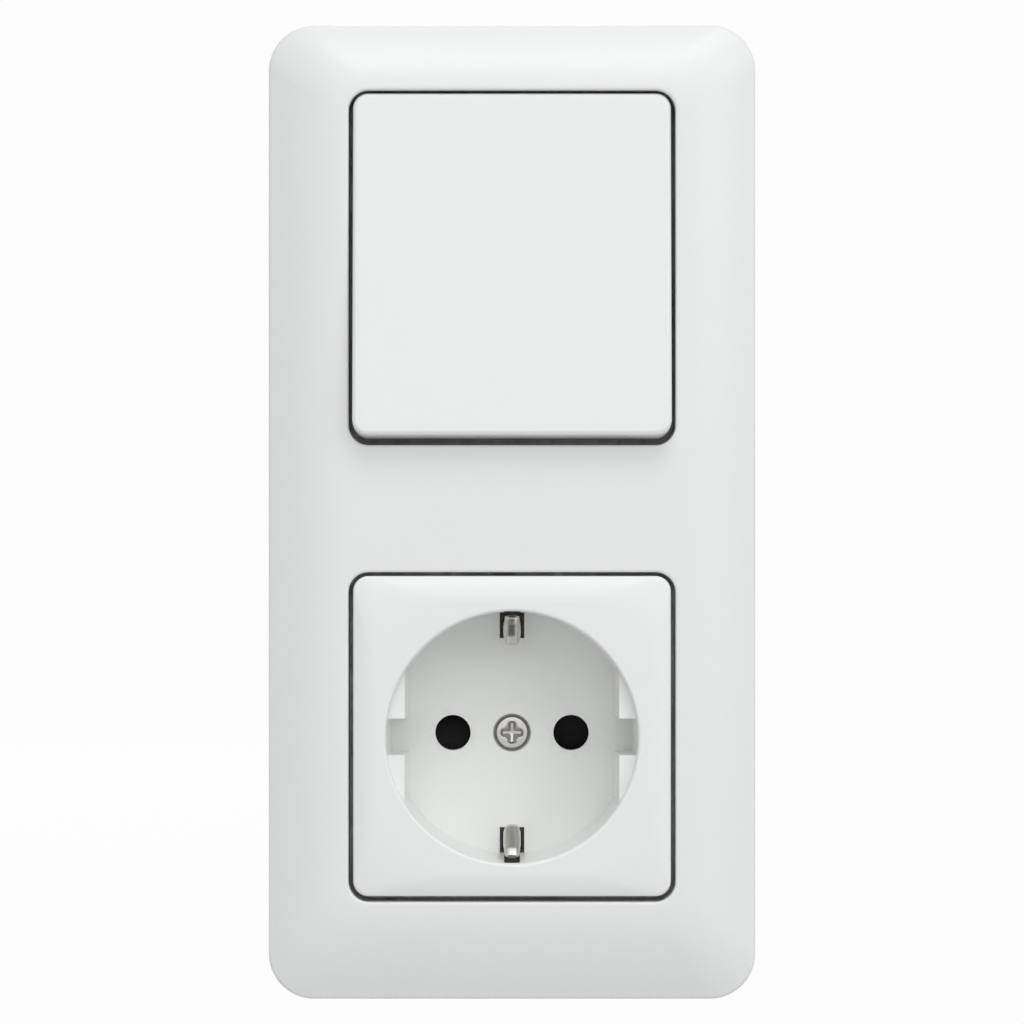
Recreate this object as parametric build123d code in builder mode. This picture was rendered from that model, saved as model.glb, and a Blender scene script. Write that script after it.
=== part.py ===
from build123d import *
import os
from math import cos, radians, sin

# A flush two-gang wall unit: a rocker light switch above an earthed socket outlet, both
# clipped under one moulded cover frame. The wall is the plane y = 0, the room is towards -Y,
# +Z is up, and the origin is the middle of the four wall box screws. "Height" is the distance
# that a point stands out from the wall, and is negative inside the wall box.

# The round recess of the outlet sets the socket cover and so the windows. With their margins
# they set the brackets, the frame and the spacing of the gangs, which is the standard 71 mm
recess_floor_radius = 19.4
recess_draft = 0.5
recess_rim_radius = recess_floor_radius + recess_draft
cover_plateau_margin = 1.4
cover_plateau = 2 * (recess_rim_radius + cover_plateau_margin)
cover_slope_width = 3.75
cover_width = cover_plateau + 2 * cover_slope_width
cover_side_gap = 0.75
window_width = cover_width + 2 * cover_side_gap
window_corner = 3.2
rocker_window_extra = 4.4
rocker_window_height = window_width + rocker_window_extra
rocker_window_rise = 3.05
socket_window_extra = 0.4
socket_window_height = window_width + socket_window_extra
bracket_margin = 9.4
bracket_size = window_width + 2 * bracket_margin
bracket_gap = 0.6
gang_spacing = bracket_size + bracket_gap
switch_z = gang_spacing / 2
socket_z = -gang_spacing / 2
rocker_window_z = switch_z + rocker_window_rise
plateau_top = rocker_window_z + rocker_window_height / 2
plateau_bottom = socket_z - socket_window_height / 2

# Cover frame
frame_wall = 1.8
frame_side_gap = 1.6
frame_end_gap = 4.75
frame_width = bracket_size + 2 * (frame_wall + frame_side_gap)
frame_height = gang_spacing + bracket_size + 2 * (frame_wall + frame_end_gap)
frame_corner = 7.2
frame_front = 9.6
frame_shoulder = 5.0
frame_edge_round = 0.7
frame_lip_width = 0.8
frame_lip_round = 0.45
frame_bulge = 1.7
frame_bevel_steps = 5
skirt_wall = 1.2
frame_rib_wall = 1.0
frame_rib_inset = 2.0
frame_rib_reach = socket_window_height / 2 - frame_rib_inset

# Mounting brackets, pressed from sheet steel
bracket_thickness = 1.0
bracket_corner = 4.0
box_slot_radius = 2.0
box_slot_length = 7.6
box_slot_margin = 1.4
box_screw_spacing = bracket_size - box_slot_length - 2 * box_slot_margin
bracket_tongue_width = 6.0
bracket_tongue_height = 3.6
bracket_tongue_place = 16.0
bracket_tongue_chamfer = 0.8
rivet_shank = 1.4
rivet_head = 2.4
rivet_tail = 2.0
rivet_head_height = 0.8
rivet_clearance = 0.1
rivet_margin = 3.0

# Rocker and the carrier that it clips onto
switch_margin = 5.8
switch_width = window_width - 2 * switch_margin
switch_shortening = 2.0
switch_length = switch_width - switch_shortening
rocker_tilt = 5.0
rocker_pivot_height = 6.5
rocker_face = 5.4
rocker_side_gap = 0.7
rocker_end_gap = 0.9
rocker_shift = 0.175
rocker_corner = 2.4
rocker_edge_round = 0.7
rocker_crown = 0.25
rocker_depth = 7.6
rocker_skin = 2.0
rocker_wall = 1.6
rocker_width = window_width - 2 * rocker_side_gap
rocker_length = rocker_window_height - 2 * rocker_end_gap
rocker_rise = rocker_window_rise + rocker_shift
cap_rib_wall = 1.0
cap_rib_gap = 0.3
cap_rib_depth = 1.6
carrier_margin = 4.5
carrier_width = switch_width - 2 * carrier_margin
carrier_length = 22.0
carrier_corner = 1.5
carrier_plate = 1.8
carrier_cheek = 1.6
carrier_cheek_base = 15.0
carrier_top = rocker_face - rocker_skin
trunnion_radius = 1.9
trunnion_clearance = 0.06
trunnion_rim = 0.4
cheek_neck_width = 0.92
cheek_neck_drop = 0.36
hook_width = 9.0
hook_wall = 1.3
hook_barb = 0.7
hook_depth = 1.2
hook_lead = 0.2
hook_clearance = 0.05
skin_bite = 0.4
post_radius = 3.2
post_reach = 7.5
post_bore_top = 0.4
plunger_radius = 1.8
plunger_clearance = 0.1
plunger_reach = 12.05
plunger_length = 7.6
spring_wire = 0.26
spring_turns = 4

# Switch housing
switch_corner = 4.5
switch_wall = 1.8
switch_front_height = 2.4
switch_floor_height = -13.0
switch_chamber_height = -14.6
switch_back_height = -20.5
deck_thickness = 1.4
deck_hole_width = 14.0
deck_hole_length = 15.0
deck_hole_corner = 1.5
cheek_clearance = 0.5
cheek_thickness = 2.8
cheek_base = 10.0
bearing_wall = 1.0
cheek_round = trunnion_radius + trunnion_clearance + bearing_wall
switch_rivet_x = switch_width / 2 + rivet_margin
switch_rivet_z = 10.0
flange_width = 2 * (switch_rivet_x + rivet_margin)
flange_length = 30.0
flange_thickness = 1.8
opening_clearance = 0.3
back_plate_thickness = 1.6
wire_hole_radius = 1.2
wire_mouth = 0.25
wire_step = 1.5

# Changeover contact and the strips that it joins
terminal_margin = 4.8
terminal_reach = switch_length / 2 - terminal_margin
contact_margin = 2.6
contact_reach = terminal_reach - contact_margin
tip_margin = 1.7
tip_reach = contact_reach - tip_margin
contact_pivot_height = -7.0
contact_tilt = 7.0
contact_width = 5.0
contact_sheet = 0.9
contact_end_round = 1.2
contact_pin_radius = 0.8
contact_pin_clearance = 0.08
contact_seat = 0.2
tip_radius = 1.5
tip_thickness = 0.9
tip_gap = 0.06
strip_sheet = 0.8
pad_margin = 0.4
tail_gap = 1.0
ear_gap = 0.7
ear_rise = 1.1
ear_top_width = 4.4
chamber_size = 6.0
chamber_corner = 0.6
tail_clearance = 0.3
wire_leaf_sheet = 0.4
wire_leaf_width = 3.8
wire_leaf_gap = 0.1
wire_leaf_foot = 0.6
wire_leaf_bend = 1.6
wire_leaf_press = 0.9

# Socket insert: the round recess of the outlet and its pins
cover_end_gap = 0.75
cover_rise = 0.15
cover_corner = 2.4
cover_edge_height = 9.9
cover_rim_height = 11.0
cover_edge_round = 0.6
cover_skin = 1.6
cover_plateau_corner = 12.0
recess_depth = 17.5
recess_rim_round = 0.5
bowl_wall = 1.8
floor_thickness = 1.8
guide_inset = 2.45
guide_half_gap = recess_floor_radius - guide_inset
guide_draft = 0.55
guide_drop = 2.0
guide_bite = 0.4
guide_far_wall = 0.75
guide_far_outer = guide_half_gap + guide_far_wall
guide_root_radius = recess_rim_radius + bowl_wall / 2
guide_end = (guide_root_radius**2 - (guide_far_outer + guide_bite) ** 2) ** 0.5
keyway_width = 5.8
pin_spacing = 19.0
pin_hole_radius = 2.85
screw_recess_radius = 3.0
screw_recess_depth = 1.0
clip_window_width = 3.95
clip_window_reach = 4.2
clip_notch_width = 2.5
clip_notch_top = 1.6
floor_height = cover_rim_height - recess_depth
floor_back = floor_height - floor_thickness

# Socket base and its contacts
pocket_clearance = 0.7
base_pocket_radius = recess_floor_radius + bowl_wall + pocket_clearance
base_wall = 2.1
base_radius = base_pocket_radius + base_wall
base_flat_cut = 2.0
base_flat_width = 2 * (base_radius - base_flat_cut)
socket_rivet_step = 4.2
socket_rivet_radius = base_pocket_radius + socket_rivet_step
rivet_diagonal = socket_rivet_radius * cos(radians(45))
base_flange_width = 2 * (rivet_diagonal + rivet_margin)
base_flange_corner = 3.4
base_flange_thickness = 1.8
shutter_room = 2.4
base_back_height = -24.0
block_top = floor_back - shutter_room
pillar_radius = 3.4
bush_radius = 2.2
bush_bottom_height = -19.0
screw_radius = 1.5
screw_head_radius = 2.65
screw_head_height = 0.95
screw_head_round = 0.45
screw_cross_margin = 1.05
screw_cross_length = 2 * (screw_head_radius - screw_cross_margin)
screw_cross_width = 1.0
screw_cross_depth = 0.85
screw_clearance = 0.05
screw_length = 12.0
bow_sheet = 0.8
bow_width = 2.8
bow_eye_radius = 5.1
bow_tip_inset = 5.3
bow_leg_inset = 1.8
bow_end_inset = 0.5
bow_tip_half_gap = recess_floor_radius - bow_tip_inset
bow_leg_place = recess_floor_radius - bow_leg_inset
bow_end_place = recess_floor_radius - bow_end_inset
bow_tip_height = 1.2
bow_end_height = 7.6
bow_round = 1.6
bow_taper = 0.25
bow_clearance = 0.3
pin_contact_width = 5.0
pin_contact_sheet = 0.6
pin_gap = 4.5
pin_leaf_flare = 1.2
pin_leaf_mouth = 0.8
pin_leaf_throat = 3.6
pin_leaf_foot = 0.9
pin_strip_past = 2.0
pin_pocket_width = 8.0
pin_pocket_length = 9.0
pin_contact_bottom = -21.0
terminal_size = 7.0
terminal_length = 8.0
terminal_end = 1.5
terminal_inset = 8.0
terminal_place = base_radius - terminal_inset
terminal_screw_radius = 1.5
terminal_screw_head = 2.1
terminal_screw_length = 5.0
terminal_screw_head_height = 1.5
terminal_screw_room = 0.2
terminal_slot_width = 0.6
terminal_slot_depth = 0.7
shutter_thickness = 2.0
shutter_hub_radius = 5.3
shutter_pad_radius = 3.5
shutter_arm_width = 3.4
shutter_clearance = 0.1
shutter_ramp_drop = 1.3
shutter_swing_room = 2.0
shutter_room_radius = pin_spacing / 2 + shutter_pad_radius + shutter_swing_room
shutter_spring_step = 0.9
shutter_spring_x = pin_spacing / 2 - shutter_spring_step
shutter_spring_radius = 0.75
shutter_spring_wire = 0.16
shutter_spring_turns = 5
shutter_spring_start = shutter_pad_radius + shutter_clearance
shutter_spring_seat = 0.99
shutter_spring_end = (shutter_room_radius**2 - shutter_spring_x**2) ** 0.5 - shutter_spring_seat


def facing(height, x=0.0, z=0.0):
    """The plane at this height over the wall, seen from the room, with its middle at x, z."""
    return Plane(origin=(x, -height, z), x_dir=(1, 0, 0), z_dir=(0, -1, 0))


def side_on(x=0.0, z=0.0, height=0.0, tilt=0.0):
    """A plane across X: its first axis runs up, its second out of the wall, both tilted in at the top."""
    up = (0, sin(radians(tilt)), cos(radians(tilt)))
    return Plane(origin=(x, -height, z), x_dir=up, z_dir=(1, 0, 0))


def tilted(z, height, tilt, rise):
    """A plane that faces the room, tilted in at the top, at this rise over a pivot."""
    out = (0, -cos(radians(tilt)), sin(radians(tilt)))
    return Plane(origin=(0, -height, z), x_dir=(1, 0, 0), z_dir=out).offset(rise)


def on_rocker(rise):
    return tilted(switch_z, rocker_pivot_height, rocker_tilt, rise)


def across_rocker(x=0.0):
    return side_on(x, switch_z, rocker_pivot_height, rocker_tilt)


def finish(builder, label):
    """Name a finished piece and write it."""
    builder.part.label = label
    export_step(builder.part, "parts/" + label + ".step")


os.makedirs("parts", exist_ok=True)


# Cover frame: one white moulding with a gently domed border and a window for each gang
def frame_form(inset, drop):
    """The frame's outer form, drawn in by inset at the sides and lowered by drop in front."""
    with BuildPart() as form:
        with BuildSketch(facing(0)):
            RectangleRounded(frame_width - 2 * inset, frame_height - 2 * inset, frame_corner - inset)
        extrude(amount=frame_shoulder - drop)
        for step in range(frame_bevel_steps + 1):
            share = step / frame_bevel_steps
            half_width = frame_width / 2 - inset
            half_width += share * (window_width / 2 + frame_lip_width - half_width)
            top = frame_height / 2 - inset
            top += share * (plateau_top + frame_lip_width - top)
            bottom = inset - frame_height / 2
            bottom += share * (plateau_bottom - frame_lip_width - bottom)
            corner = frame_corner - inset
            corner += share * (window_corner + frame_lip_width - corner)
            climb = 1 - (1 - share) ** frame_bulge
            height = frame_shoulder + climb * (frame_front - frame_shoulder) - drop
            with BuildSketch(facing(height, z=(top + bottom) / 2)):
                RectangleRounded(2 * half_width, top - bottom, corner)
        loft()
    return form.part


windows = [(rocker_window_z, rocker_window_height), (socket_z, socket_window_height)]

frame_blank = frame_form(0, 0)
frame_hollow = frame_form(frame_wall, frame_wall)

with BuildPart() as cover_frame:
    add(frame_blank)
    shoulder_edges = cover_frame.edges().filter_by_position(
        Axis.Y, -frame_shoulder - 0.01, -frame_shoulder + 0.01
    )
    fillet(shoulder_edges, radius=frame_edge_round)
    add(frame_hollow, mode=Mode.SUBTRACT)
    for window_z, window_height in windows:
        with BuildSketch(facing(bracket_thickness, z=window_z)):
            RectangleRounded(
                window_width + 2 * skirt_wall, window_height + 2 * skirt_wall, window_corner + skirt_wall
            )
        extrude(amount=frame_front - frame_wall / 2 - bracket_thickness)
    # Thin ribs on the back tie the outer wall to the skirts round the windows
    rib_start = window_width / 2 + skirt_wall / 2
    rib_end = frame_width / 2 - frame_wall / 2
    for gang_z in (switch_z, socket_z):
        for side in (-1, 1):
            for reach in (-frame_rib_reach, frame_rib_reach):
                rib_plane = facing(2 * bracket_thickness, side * (rib_start + rib_end) / 2, gang_z + reach)
                with BuildSketch(rib_plane):
                    Rectangle(rib_end - rib_start, frame_rib_wall)
                extrude(amount=frame_shoulder - 2 * bracket_thickness)
    for window_z, window_height in windows:
        with BuildSketch(facing(0, z=window_z)):
            RectangleRounded(window_width, window_height, window_corner)
        extrude(amount=frame_front + frame_wall, mode=Mode.SUBTRACT)
    plateau = cover_frame.faces().sort_by(Axis.Y)[0]
    lip_edges = [edge for wire in plateau.inner_wires() for edge in wire.edges()]
    fillet(lip_edges, radius=frame_lip_round)
finish(cover_frame, "cover_frame")


# Mounting brackets: flat steel squares with slots for the box screws and four sprung tongues
# that grip the frame's skirts
def bracket(gang_z, opening_sketch, rivet_places):
    with BuildPart() as plate:
        with BuildSketch(facing(0, z=gang_z)):
            RectangleRounded(bracket_size, bracket_size, bracket_corner)
            opening_sketch()
            with Locations(rivet_places):
                Circle(rivet_shank + rivet_clearance, mode=Mode.SUBTRACT)
            with Locations((-box_screw_spacing / 2, 0), (box_screw_spacing / 2, 0)):
                SlotOverall(box_slot_length, 2 * box_slot_radius, mode=Mode.SUBTRACT)
            tongue_cut = window_width / 2 + skirt_wall + bracket_thickness + bracket_tongue_height / 2
            with Locations(*[(side * tongue_cut, place) for side in (-1, 1) for place in tongue_places]):
                Rectangle(bracket_tongue_height, bracket_tongue_width, mode=Mode.SUBTRACT)
        extrude(amount=bracket_thickness)
        tongue_x = window_width / 2 + skirt_wall + bracket_thickness / 2
        with BuildSketch(facing(bracket_thickness, z=gang_z)):
            with Locations(*[(side * tongue_x, place) for side in (-1, 1) for place in tongue_places]):
                Rectangle(bracket_thickness, bracket_tongue_width)
        extrude(amount=bracket_tongue_height)
        tongue_tips = plate.faces().filter_by(Axis.Y).sort_by(Axis.Y)[:4]
        tip_edges = [edge for tip in tongue_tips for edge in tip.edges().filter_by(Axis.X)]
        chamfer(tip_edges, length=bracket_tongue_chamfer)
    return plate


def rivets(gang_z, places, grip):
    """Tubular rivets through a bracket and the flange behind it, with a head at each end."""
    with BuildPart() as group:
        with BuildSketch(facing(bracket_thickness, z=gang_z)):
            with Locations(places):
                Circle(rivet_head)
        extrude(amount=rivet_head_height)
        chamfer(group.faces().sort_by(Axis.Y)[0:len(places)].edges(), length=rivet_head_height / 2)
        with BuildSketch(facing(bracket_thickness, z=gang_z)):
            with Locations(places):
                Circle(rivet_shank)
        extrude(amount=-bracket_thickness - grip)
        with BuildSketch(facing(-grip, z=gang_z)):
            with Locations(places):
                Circle(rivet_tail)
        extrude(amount=-rivet_head_height)
    return group


def switch_opening():
    RectangleRounded(
        switch_width + 2 * opening_clearance,
        switch_length + 2 * opening_clearance,
        switch_corner + opening_clearance,
        mode=Mode.SUBTRACT,
    )


def socket_opening():
    Circle(base_pocket_radius + opening_clearance, mode=Mode.SUBTRACT)


tongue_places = (-bracket_tongue_place, bracket_tongue_place)
switch_rivets_at = [
    (x, z) for x in (-switch_rivet_x, switch_rivet_x) for z in (-switch_rivet_z, switch_rivet_z)
]
socket_rivets_at = [
    (x, z) for x in (-rivet_diagonal, rivet_diagonal) for z in (-rivet_diagonal, rivet_diagonal)
]

finish(bracket(switch_z, switch_opening, switch_rivets_at), "switch_bracket")
finish(bracket(socket_z, socket_opening, socket_rivets_at), "socket_bracket")
finish(rivets(switch_z, switch_rivets_at, flange_thickness), "switch_rivets")
finish(rivets(socket_z, socket_rivets_at, base_flange_thickness), "socket_rivets")

# Rocker: a wide white cap, hollow behind, crowned a little along its length
with BuildPart() as rocker_cap:
    with BuildSketch(across_rocker()):
        with BuildLine():
            top_end = rocker_rise + rocker_length / 2
            bottom_end = rocker_rise - rocker_length / 2
            end_face = rocker_face - rocker_crown
            face_line = SagittaArc((bottom_end, end_face), (top_end, end_face), -rocker_crown)
            Polyline(
                face_line @ 1,
                (top_end, rocker_face - rocker_depth),
                (bottom_end, rocker_face - rocker_depth),
                face_line @ 0,
            )
        make_face()
    extrude(amount=rocker_width / 2, both=True)
    face_normal = on_rocker(0).z_dir
    upright = rocker_cap.edges().filter_by(Axis((0, 0, 0), face_normal))
    fillet(upright, radius=rocker_corner)
    face = rocker_cap.faces().sort_by(Axis((0, 0, 0), face_normal))[-1]
    fillet(face.edges(), radius=rocker_edge_round)
    with BuildSketch(on_rocker(rocker_face - rocker_depth)):
        with Locations((0, rocker_rise)):
            RectangleRounded(
                rocker_width - 2 * rocker_wall,
                rocker_length - 2 * rocker_wall,
                rocker_corner - rocker_wall / 2,
            )
    extrude(amount=rocker_depth - rocker_skin, mode=Mode.SUBTRACT)
    # Two hooks that snap over the ends of the carrier, and two stiffening ribs
    for end in (-1, 1):
        with BuildSketch(across_rocker()):
            with BuildLine():
                inner = end * (carrier_length / 2 + hook_clearance)
                under = carrier_top - carrier_plate - hook_clearance
                Polyline(
                    (inner, carrier_top + skin_bite),
                    (inner, under),
                    (inner - end * hook_barb, under),
                    (inner + end * hook_lead, under - hook_depth),
                    (inner + end * hook_wall, under - hook_depth),
                    (inner + end * hook_wall, carrier_top + skin_bite),
                    close=True,
                )
            make_face()
        extrude(amount=hook_width / 2, both=True)
    for side in (-1, 1):
        with BuildSketch(on_rocker(carrier_top - cap_rib_depth)):
            rib_x = carrier_width / 2 + cheek_clearance + cheek_thickness + cap_rib_gap + cap_rib_wall / 2
            with Locations((side * rib_x, rocker_rise)):
                Rectangle(cap_rib_wall, rocker_length - rocker_wall)
        extrude(amount=cap_rib_depth + skin_bite)
finish(rocker_cap, "rocker_cap")

# Rocker carrier: the tilting yoke, with a trunnion on each cheek and the post of the plunger
with BuildPart() as rocker_carrier:
    with BuildSketch(on_rocker(carrier_top)):
        RectangleRounded(carrier_width, carrier_length, carrier_corner)
    extrude(amount=-carrier_plate)
    plate_middle = carrier_top - carrier_plate / 2
    carrier_cheek_round = trunnion_radius + trunnion_rim
    for side in (-1, 1):
        cheek_plane = across_rocker(side * (carrier_width / 2 - carrier_cheek))
        with BuildSketch(cheek_plane):
            with BuildLine():
                Polyline(
                    (-carrier_cheek_base / 2, plate_middle),
                    (-carrier_cheek_round * cheek_neck_width, -carrier_cheek_round * cheek_neck_drop),
                    (carrier_cheek_round * cheek_neck_width, -carrier_cheek_round * cheek_neck_drop),
                    (carrier_cheek_base / 2, plate_middle),
                    close=True,
                )
            make_face()
            Circle(carrier_cheek_round)
        extrude(amount=side * carrier_cheek)
        with BuildSketch(across_rocker(side * carrier_width / 2)):
            Circle(trunnion_radius)
        extrude(amount=side * (cheek_clearance + cheek_thickness + trunnion_clearance))
    with BuildSketch(on_rocker(plate_middle)):
        Circle(post_radius)
    extrude(amount=-plate_middle - post_reach)
    with BuildSketch(on_rocker(-post_reach)):
        Circle(plunger_radius + plunger_clearance)
    extrude(amount=post_reach + post_bore_top, mode=Mode.SUBTRACT)
finish(rocker_carrier, "rocker_carrier")

# Plunger: a turned brass nose, pressed on the changeover contact by its spring
with BuildPart() as plunger:
    with BuildSketch(across_rocker()):
        with BuildLine():
            nose = CenterArc((0, plunger_radius - plunger_reach), plunger_radius, 180, 90)
            back = plunger_length - plunger_reach
            Polyline(nose @ 1, (0, back), (-plunger_radius, back), nose @ 0)
        make_face()
    revolve(axis=Axis(on_rocker(0).origin, on_rocker(0).z_dir))
finish(plunger, "plunger")

with BuildPart() as plunger_spring:
    spring_bottom = plunger_length - plunger_reach + spring_wire
    spring_top = post_bore_top - spring_wire
    with BuildLine():
        coil = Helix(
            pitch=(spring_top - spring_bottom) / spring_turns,
            height=spring_top - spring_bottom,
            radius=plunger_radius - 2 * spring_wire,
            center=on_rocker(spring_bottom).origin,
            direction=on_rocker(0).z_dir,
        )
    with BuildSketch(Plane(origin=coil @ 0, z_dir=coil % 0)):
        RegularPolygon(spring_wire, 4)
    sweep(path=coil)
finish(plunger_spring, "plunger_spring")


# Changeover contact: a brass see-saw strip with a silver tip riveted under each end
def across_contact(tilt, x=0.0):
    return side_on(x, switch_z, contact_pivot_height, tilt)


with BuildPart() as moving_contact:
    with BuildSketch(across_contact(-contact_tilt)):
        with BuildLine():
            Polyline(
                (-contact_reach, contact_seat),
                (contact_reach, contact_seat),
                (contact_reach, contact_seat + contact_sheet),
                (-contact_reach, contact_seat + contact_sheet),
                close=True,
            )
        make_face()
    extrude(amount=contact_width / 2, both=True)
    with BuildSketch(across_contact(-contact_tilt)):
        Circle(contact_pin_radius)
    extrude(amount=contact_width / 2 + 2 * ear_gap + strip_sheet, both=True)
    long_ends = moving_contact.edges().filter_by(Axis((0, 0, 0), across_contact(-contact_tilt).y_dir))
    fillet(long_ends, radius=contact_end_round)
finish(moving_contact, "moving_contact")

with BuildPart() as moving_contact_tips:
    with BuildSketch(tilted(switch_z, contact_pivot_height, -contact_tilt, contact_seat)):
        with Locations((0, -tip_reach), (0, tip_reach)):
            Circle(tip_radius)
    extrude(amount=-tip_thickness)
finish(moving_contact_tips, "moving_contact_tips")


def fixed_contact(end):
    """A strip from the pad under one end of the see-saw, out and down to its terminal tail."""
    pad = contact_seat - 2 * tip_thickness - tip_gap - strip_sheet / 2
    tilt = radians(contact_tilt)
    reach_in = tip_reach - tip_radius
    reach_out = tip_reach + tip_radius + pad_margin
    pad_in = (reach_in * cos(tilt) + pad * sin(tilt), pad * cos(tilt) - reach_in * sin(tilt))
    pad_out = (reach_out * cos(tilt) + pad * sin(tilt), pad * cos(tilt) - reach_out * sin(tilt))
    foot = switch_floor_height - contact_pivot_height + strip_sheet / 2
    with BuildPart() as strip:
        with BuildSketch(side_on(0, switch_z, contact_pivot_height)):
            with BuildLine():
                Polyline(
                    (end * pad_in[0], pad_in[1]),
                    (end * pad_out[0], pad_out[1]),
                    (end * pad_out[0], foot),
                    (end * terminal_reach, foot),
                    (end * terminal_reach, switch_back_height - contact_pivot_height + tail_gap),
                )
                offset(amount=strip_sheet / 2, side=Side.BOTH, closed=True)
            make_face()
        extrude(amount=contact_width / 2, both=True)
    return strip


finish(fixed_contact(1), "upper_fixed_contact")
finish(fixed_contact(-1), "lower_fixed_contact")

with BuildPart() as fixed_contact_tips:
    pad_top = contact_seat - tip_thickness - tip_gap
    for end in (-1, 1):
        with BuildSketch(tilted(switch_z, contact_pivot_height, end * contact_tilt, pad_top)):
            with Locations((0, end * tip_reach)):
                Circle(tip_radius)
        extrude(amount=-tip_thickness)
finish(fixed_contact_tips, "fixed_contact_tips")

# Common contact: a cradle with two notched ears that the see-saw rocks in
with BuildPart() as common_contact:
    ear_x = contact_width / 2 + ear_gap
    foot_height = switch_floor_height + strip_sheet
    with BuildSketch(facing(foot_height, z=switch_z)):
        Rectangle(2 * (ear_x + strip_sheet), contact_width)
        with Locations((terminal_reach / 2, 0)):
            Rectangle(terminal_reach + strip_sheet, contact_width)
    extrude(amount=-strip_sheet)
    for side in (-1, 1):
        with BuildSketch(across_contact(0, side * ear_x)):
            with BuildLine():
                Polyline(
                    (-contact_width / 2, foot_height - contact_pivot_height - strip_sheet),
                    (contact_width / 2, foot_height - contact_pivot_height - strip_sheet),
                    (ear_top_width / 2, ear_rise),
                    (-ear_top_width / 2, ear_rise),
                    close=True,
                )
            make_face()
            Circle(contact_pin_radius + contact_pin_clearance, mode=Mode.SUBTRACT)
            with Locations((0, ear_rise)):
                Rectangle(
                    2 * (contact_pin_radius + contact_pin_clearance), 2 * ear_rise, mode=Mode.SUBTRACT
                )
        extrude(amount=side * strip_sheet)
    with BuildSketch(facing(foot_height, terminal_reach, switch_z)):
        Rectangle(strip_sheet, contact_width)
    extrude(amount=switch_back_height + tail_gap - foot_height)
finish(common_contact, "common_contact")

# Switch base: a moulded tub with a terminal chamber behind each contact strip
chamber_spots = [(0, terminal_reach), (0, -terminal_reach), (terminal_reach, 0)]

with BuildPart() as switch_base:
    with BuildSketch(facing(switch_front_height, z=switch_z)):
        RectangleRounded(switch_width, switch_length, switch_corner)
    extrude(amount=switch_back_height - switch_front_height)
    with BuildSketch(facing(0, z=switch_z)):
        RectangleRounded(flange_width, flange_length, switch_corner)
    extrude(amount=-flange_thickness)
    with BuildSketch(facing(0, z=switch_z)):
        with Locations(switch_rivets_at):
            Circle(rivet_shank + rivet_clearance)
    extrude(amount=-flange_thickness, mode=Mode.SUBTRACT)
    with BuildSketch(facing(switch_front_height, z=switch_z)):
        RectangleRounded(
            switch_width - 2 * switch_wall, switch_length - 2 * switch_wall, switch_corner - switch_wall
        )
    extrude(amount=switch_floor_height - switch_front_height, mode=Mode.SUBTRACT)
    with BuildSketch(facing(switch_back_height, z=switch_z)):
        with Locations(*chamber_spots):
            RectangleRounded(chamber_size, chamber_size, chamber_corner)
    extrude(amount=switch_chamber_height - switch_back_height, mode=Mode.SUBTRACT)
    with BuildSketch(facing(switch_floor_height, z=switch_z)):
        with Locations(*chamber_spots[:2]):
            Rectangle(contact_width + tail_clearance, strip_sheet + tail_clearance)
        with Locations(chamber_spots[2]):
            Rectangle(strip_sheet + tail_clearance, contact_width + tail_clearance)
    extrude(amount=switch_chamber_height - switch_floor_height, mode=Mode.SUBTRACT)
finish(switch_base, "switch_base")

# Bearing deck: closes the front of the tub and carries the trunnions in two cheeks
with BuildPart() as bearing_deck:
    with BuildSketch(facing(switch_front_height, z=switch_z)):
        RectangleRounded(switch_width, switch_length, switch_corner)
        RectangleRounded(deck_hole_width, deck_hole_length, deck_hole_corner, mode=Mode.SUBTRACT)
    extrude(amount=deck_thickness)
    deck_below = switch_front_height + deck_thickness / 2 - rocker_pivot_height
    for side in (-1, 1):
        cheek_x = side * (carrier_width / 2 + cheek_clearance)
        with BuildSketch(side_on(cheek_x, switch_z, rocker_pivot_height)):
            with BuildLine():
                Polyline(
                    (-cheek_base / 2, deck_below),
                    (cheek_base / 2, deck_below),
                    (cheek_round * cheek_neck_width, cheek_round * cheek_neck_drop),
                    (-cheek_round * cheek_neck_width, cheek_round * cheek_neck_drop),
                    close=True,
                )
            make_face()
            Circle(cheek_round)
            Circle(trunnion_radius + trunnion_clearance, mode=Mode.SUBTRACT)
        extrude(amount=side * cheek_thickness)
finish(bearing_deck, "bearing_deck")


def back_plate(plane, outline, wire_spots):
    """A moulded plate over the terminals, with a funnelled hole for each wire."""
    with BuildPart() as plate:
        with BuildSketch(plane):
            outline()
            with Locations(*wire_spots):
                Circle(wire_hole_radius, mode=Mode.SUBTRACT)
        extrude(amount=-back_plate_thickness)
        mouths = plate.faces().sort_by(Axis.Y)[-1].inner_wires()
        chamfer([edge for mouth in mouths for edge in mouth.edges()], length=wire_mouth)
    return plate


def switch_outline():
    RectangleRounded(switch_width, switch_length, switch_corner)


def base_outline():
    Circle(base_radius)
    Rectangle(base_flat_width, 2 * base_radius, mode=Mode.INTERSECT)


switch_wires_at = [(-wire_step, terminal_reach - wire_step), (wire_step, terminal_reach - wire_step)]
switch_wires_at += [(x, -z) for x, z in switch_wires_at]
switch_wires_at += [(terminal_reach - wire_step, -wire_step), (terminal_reach - wire_step, wire_step)]
switch_back = facing(switch_back_height, z=switch_z)
finish(back_plate(switch_back, switch_outline, switch_wires_at), "switch_back_plate")

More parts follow.
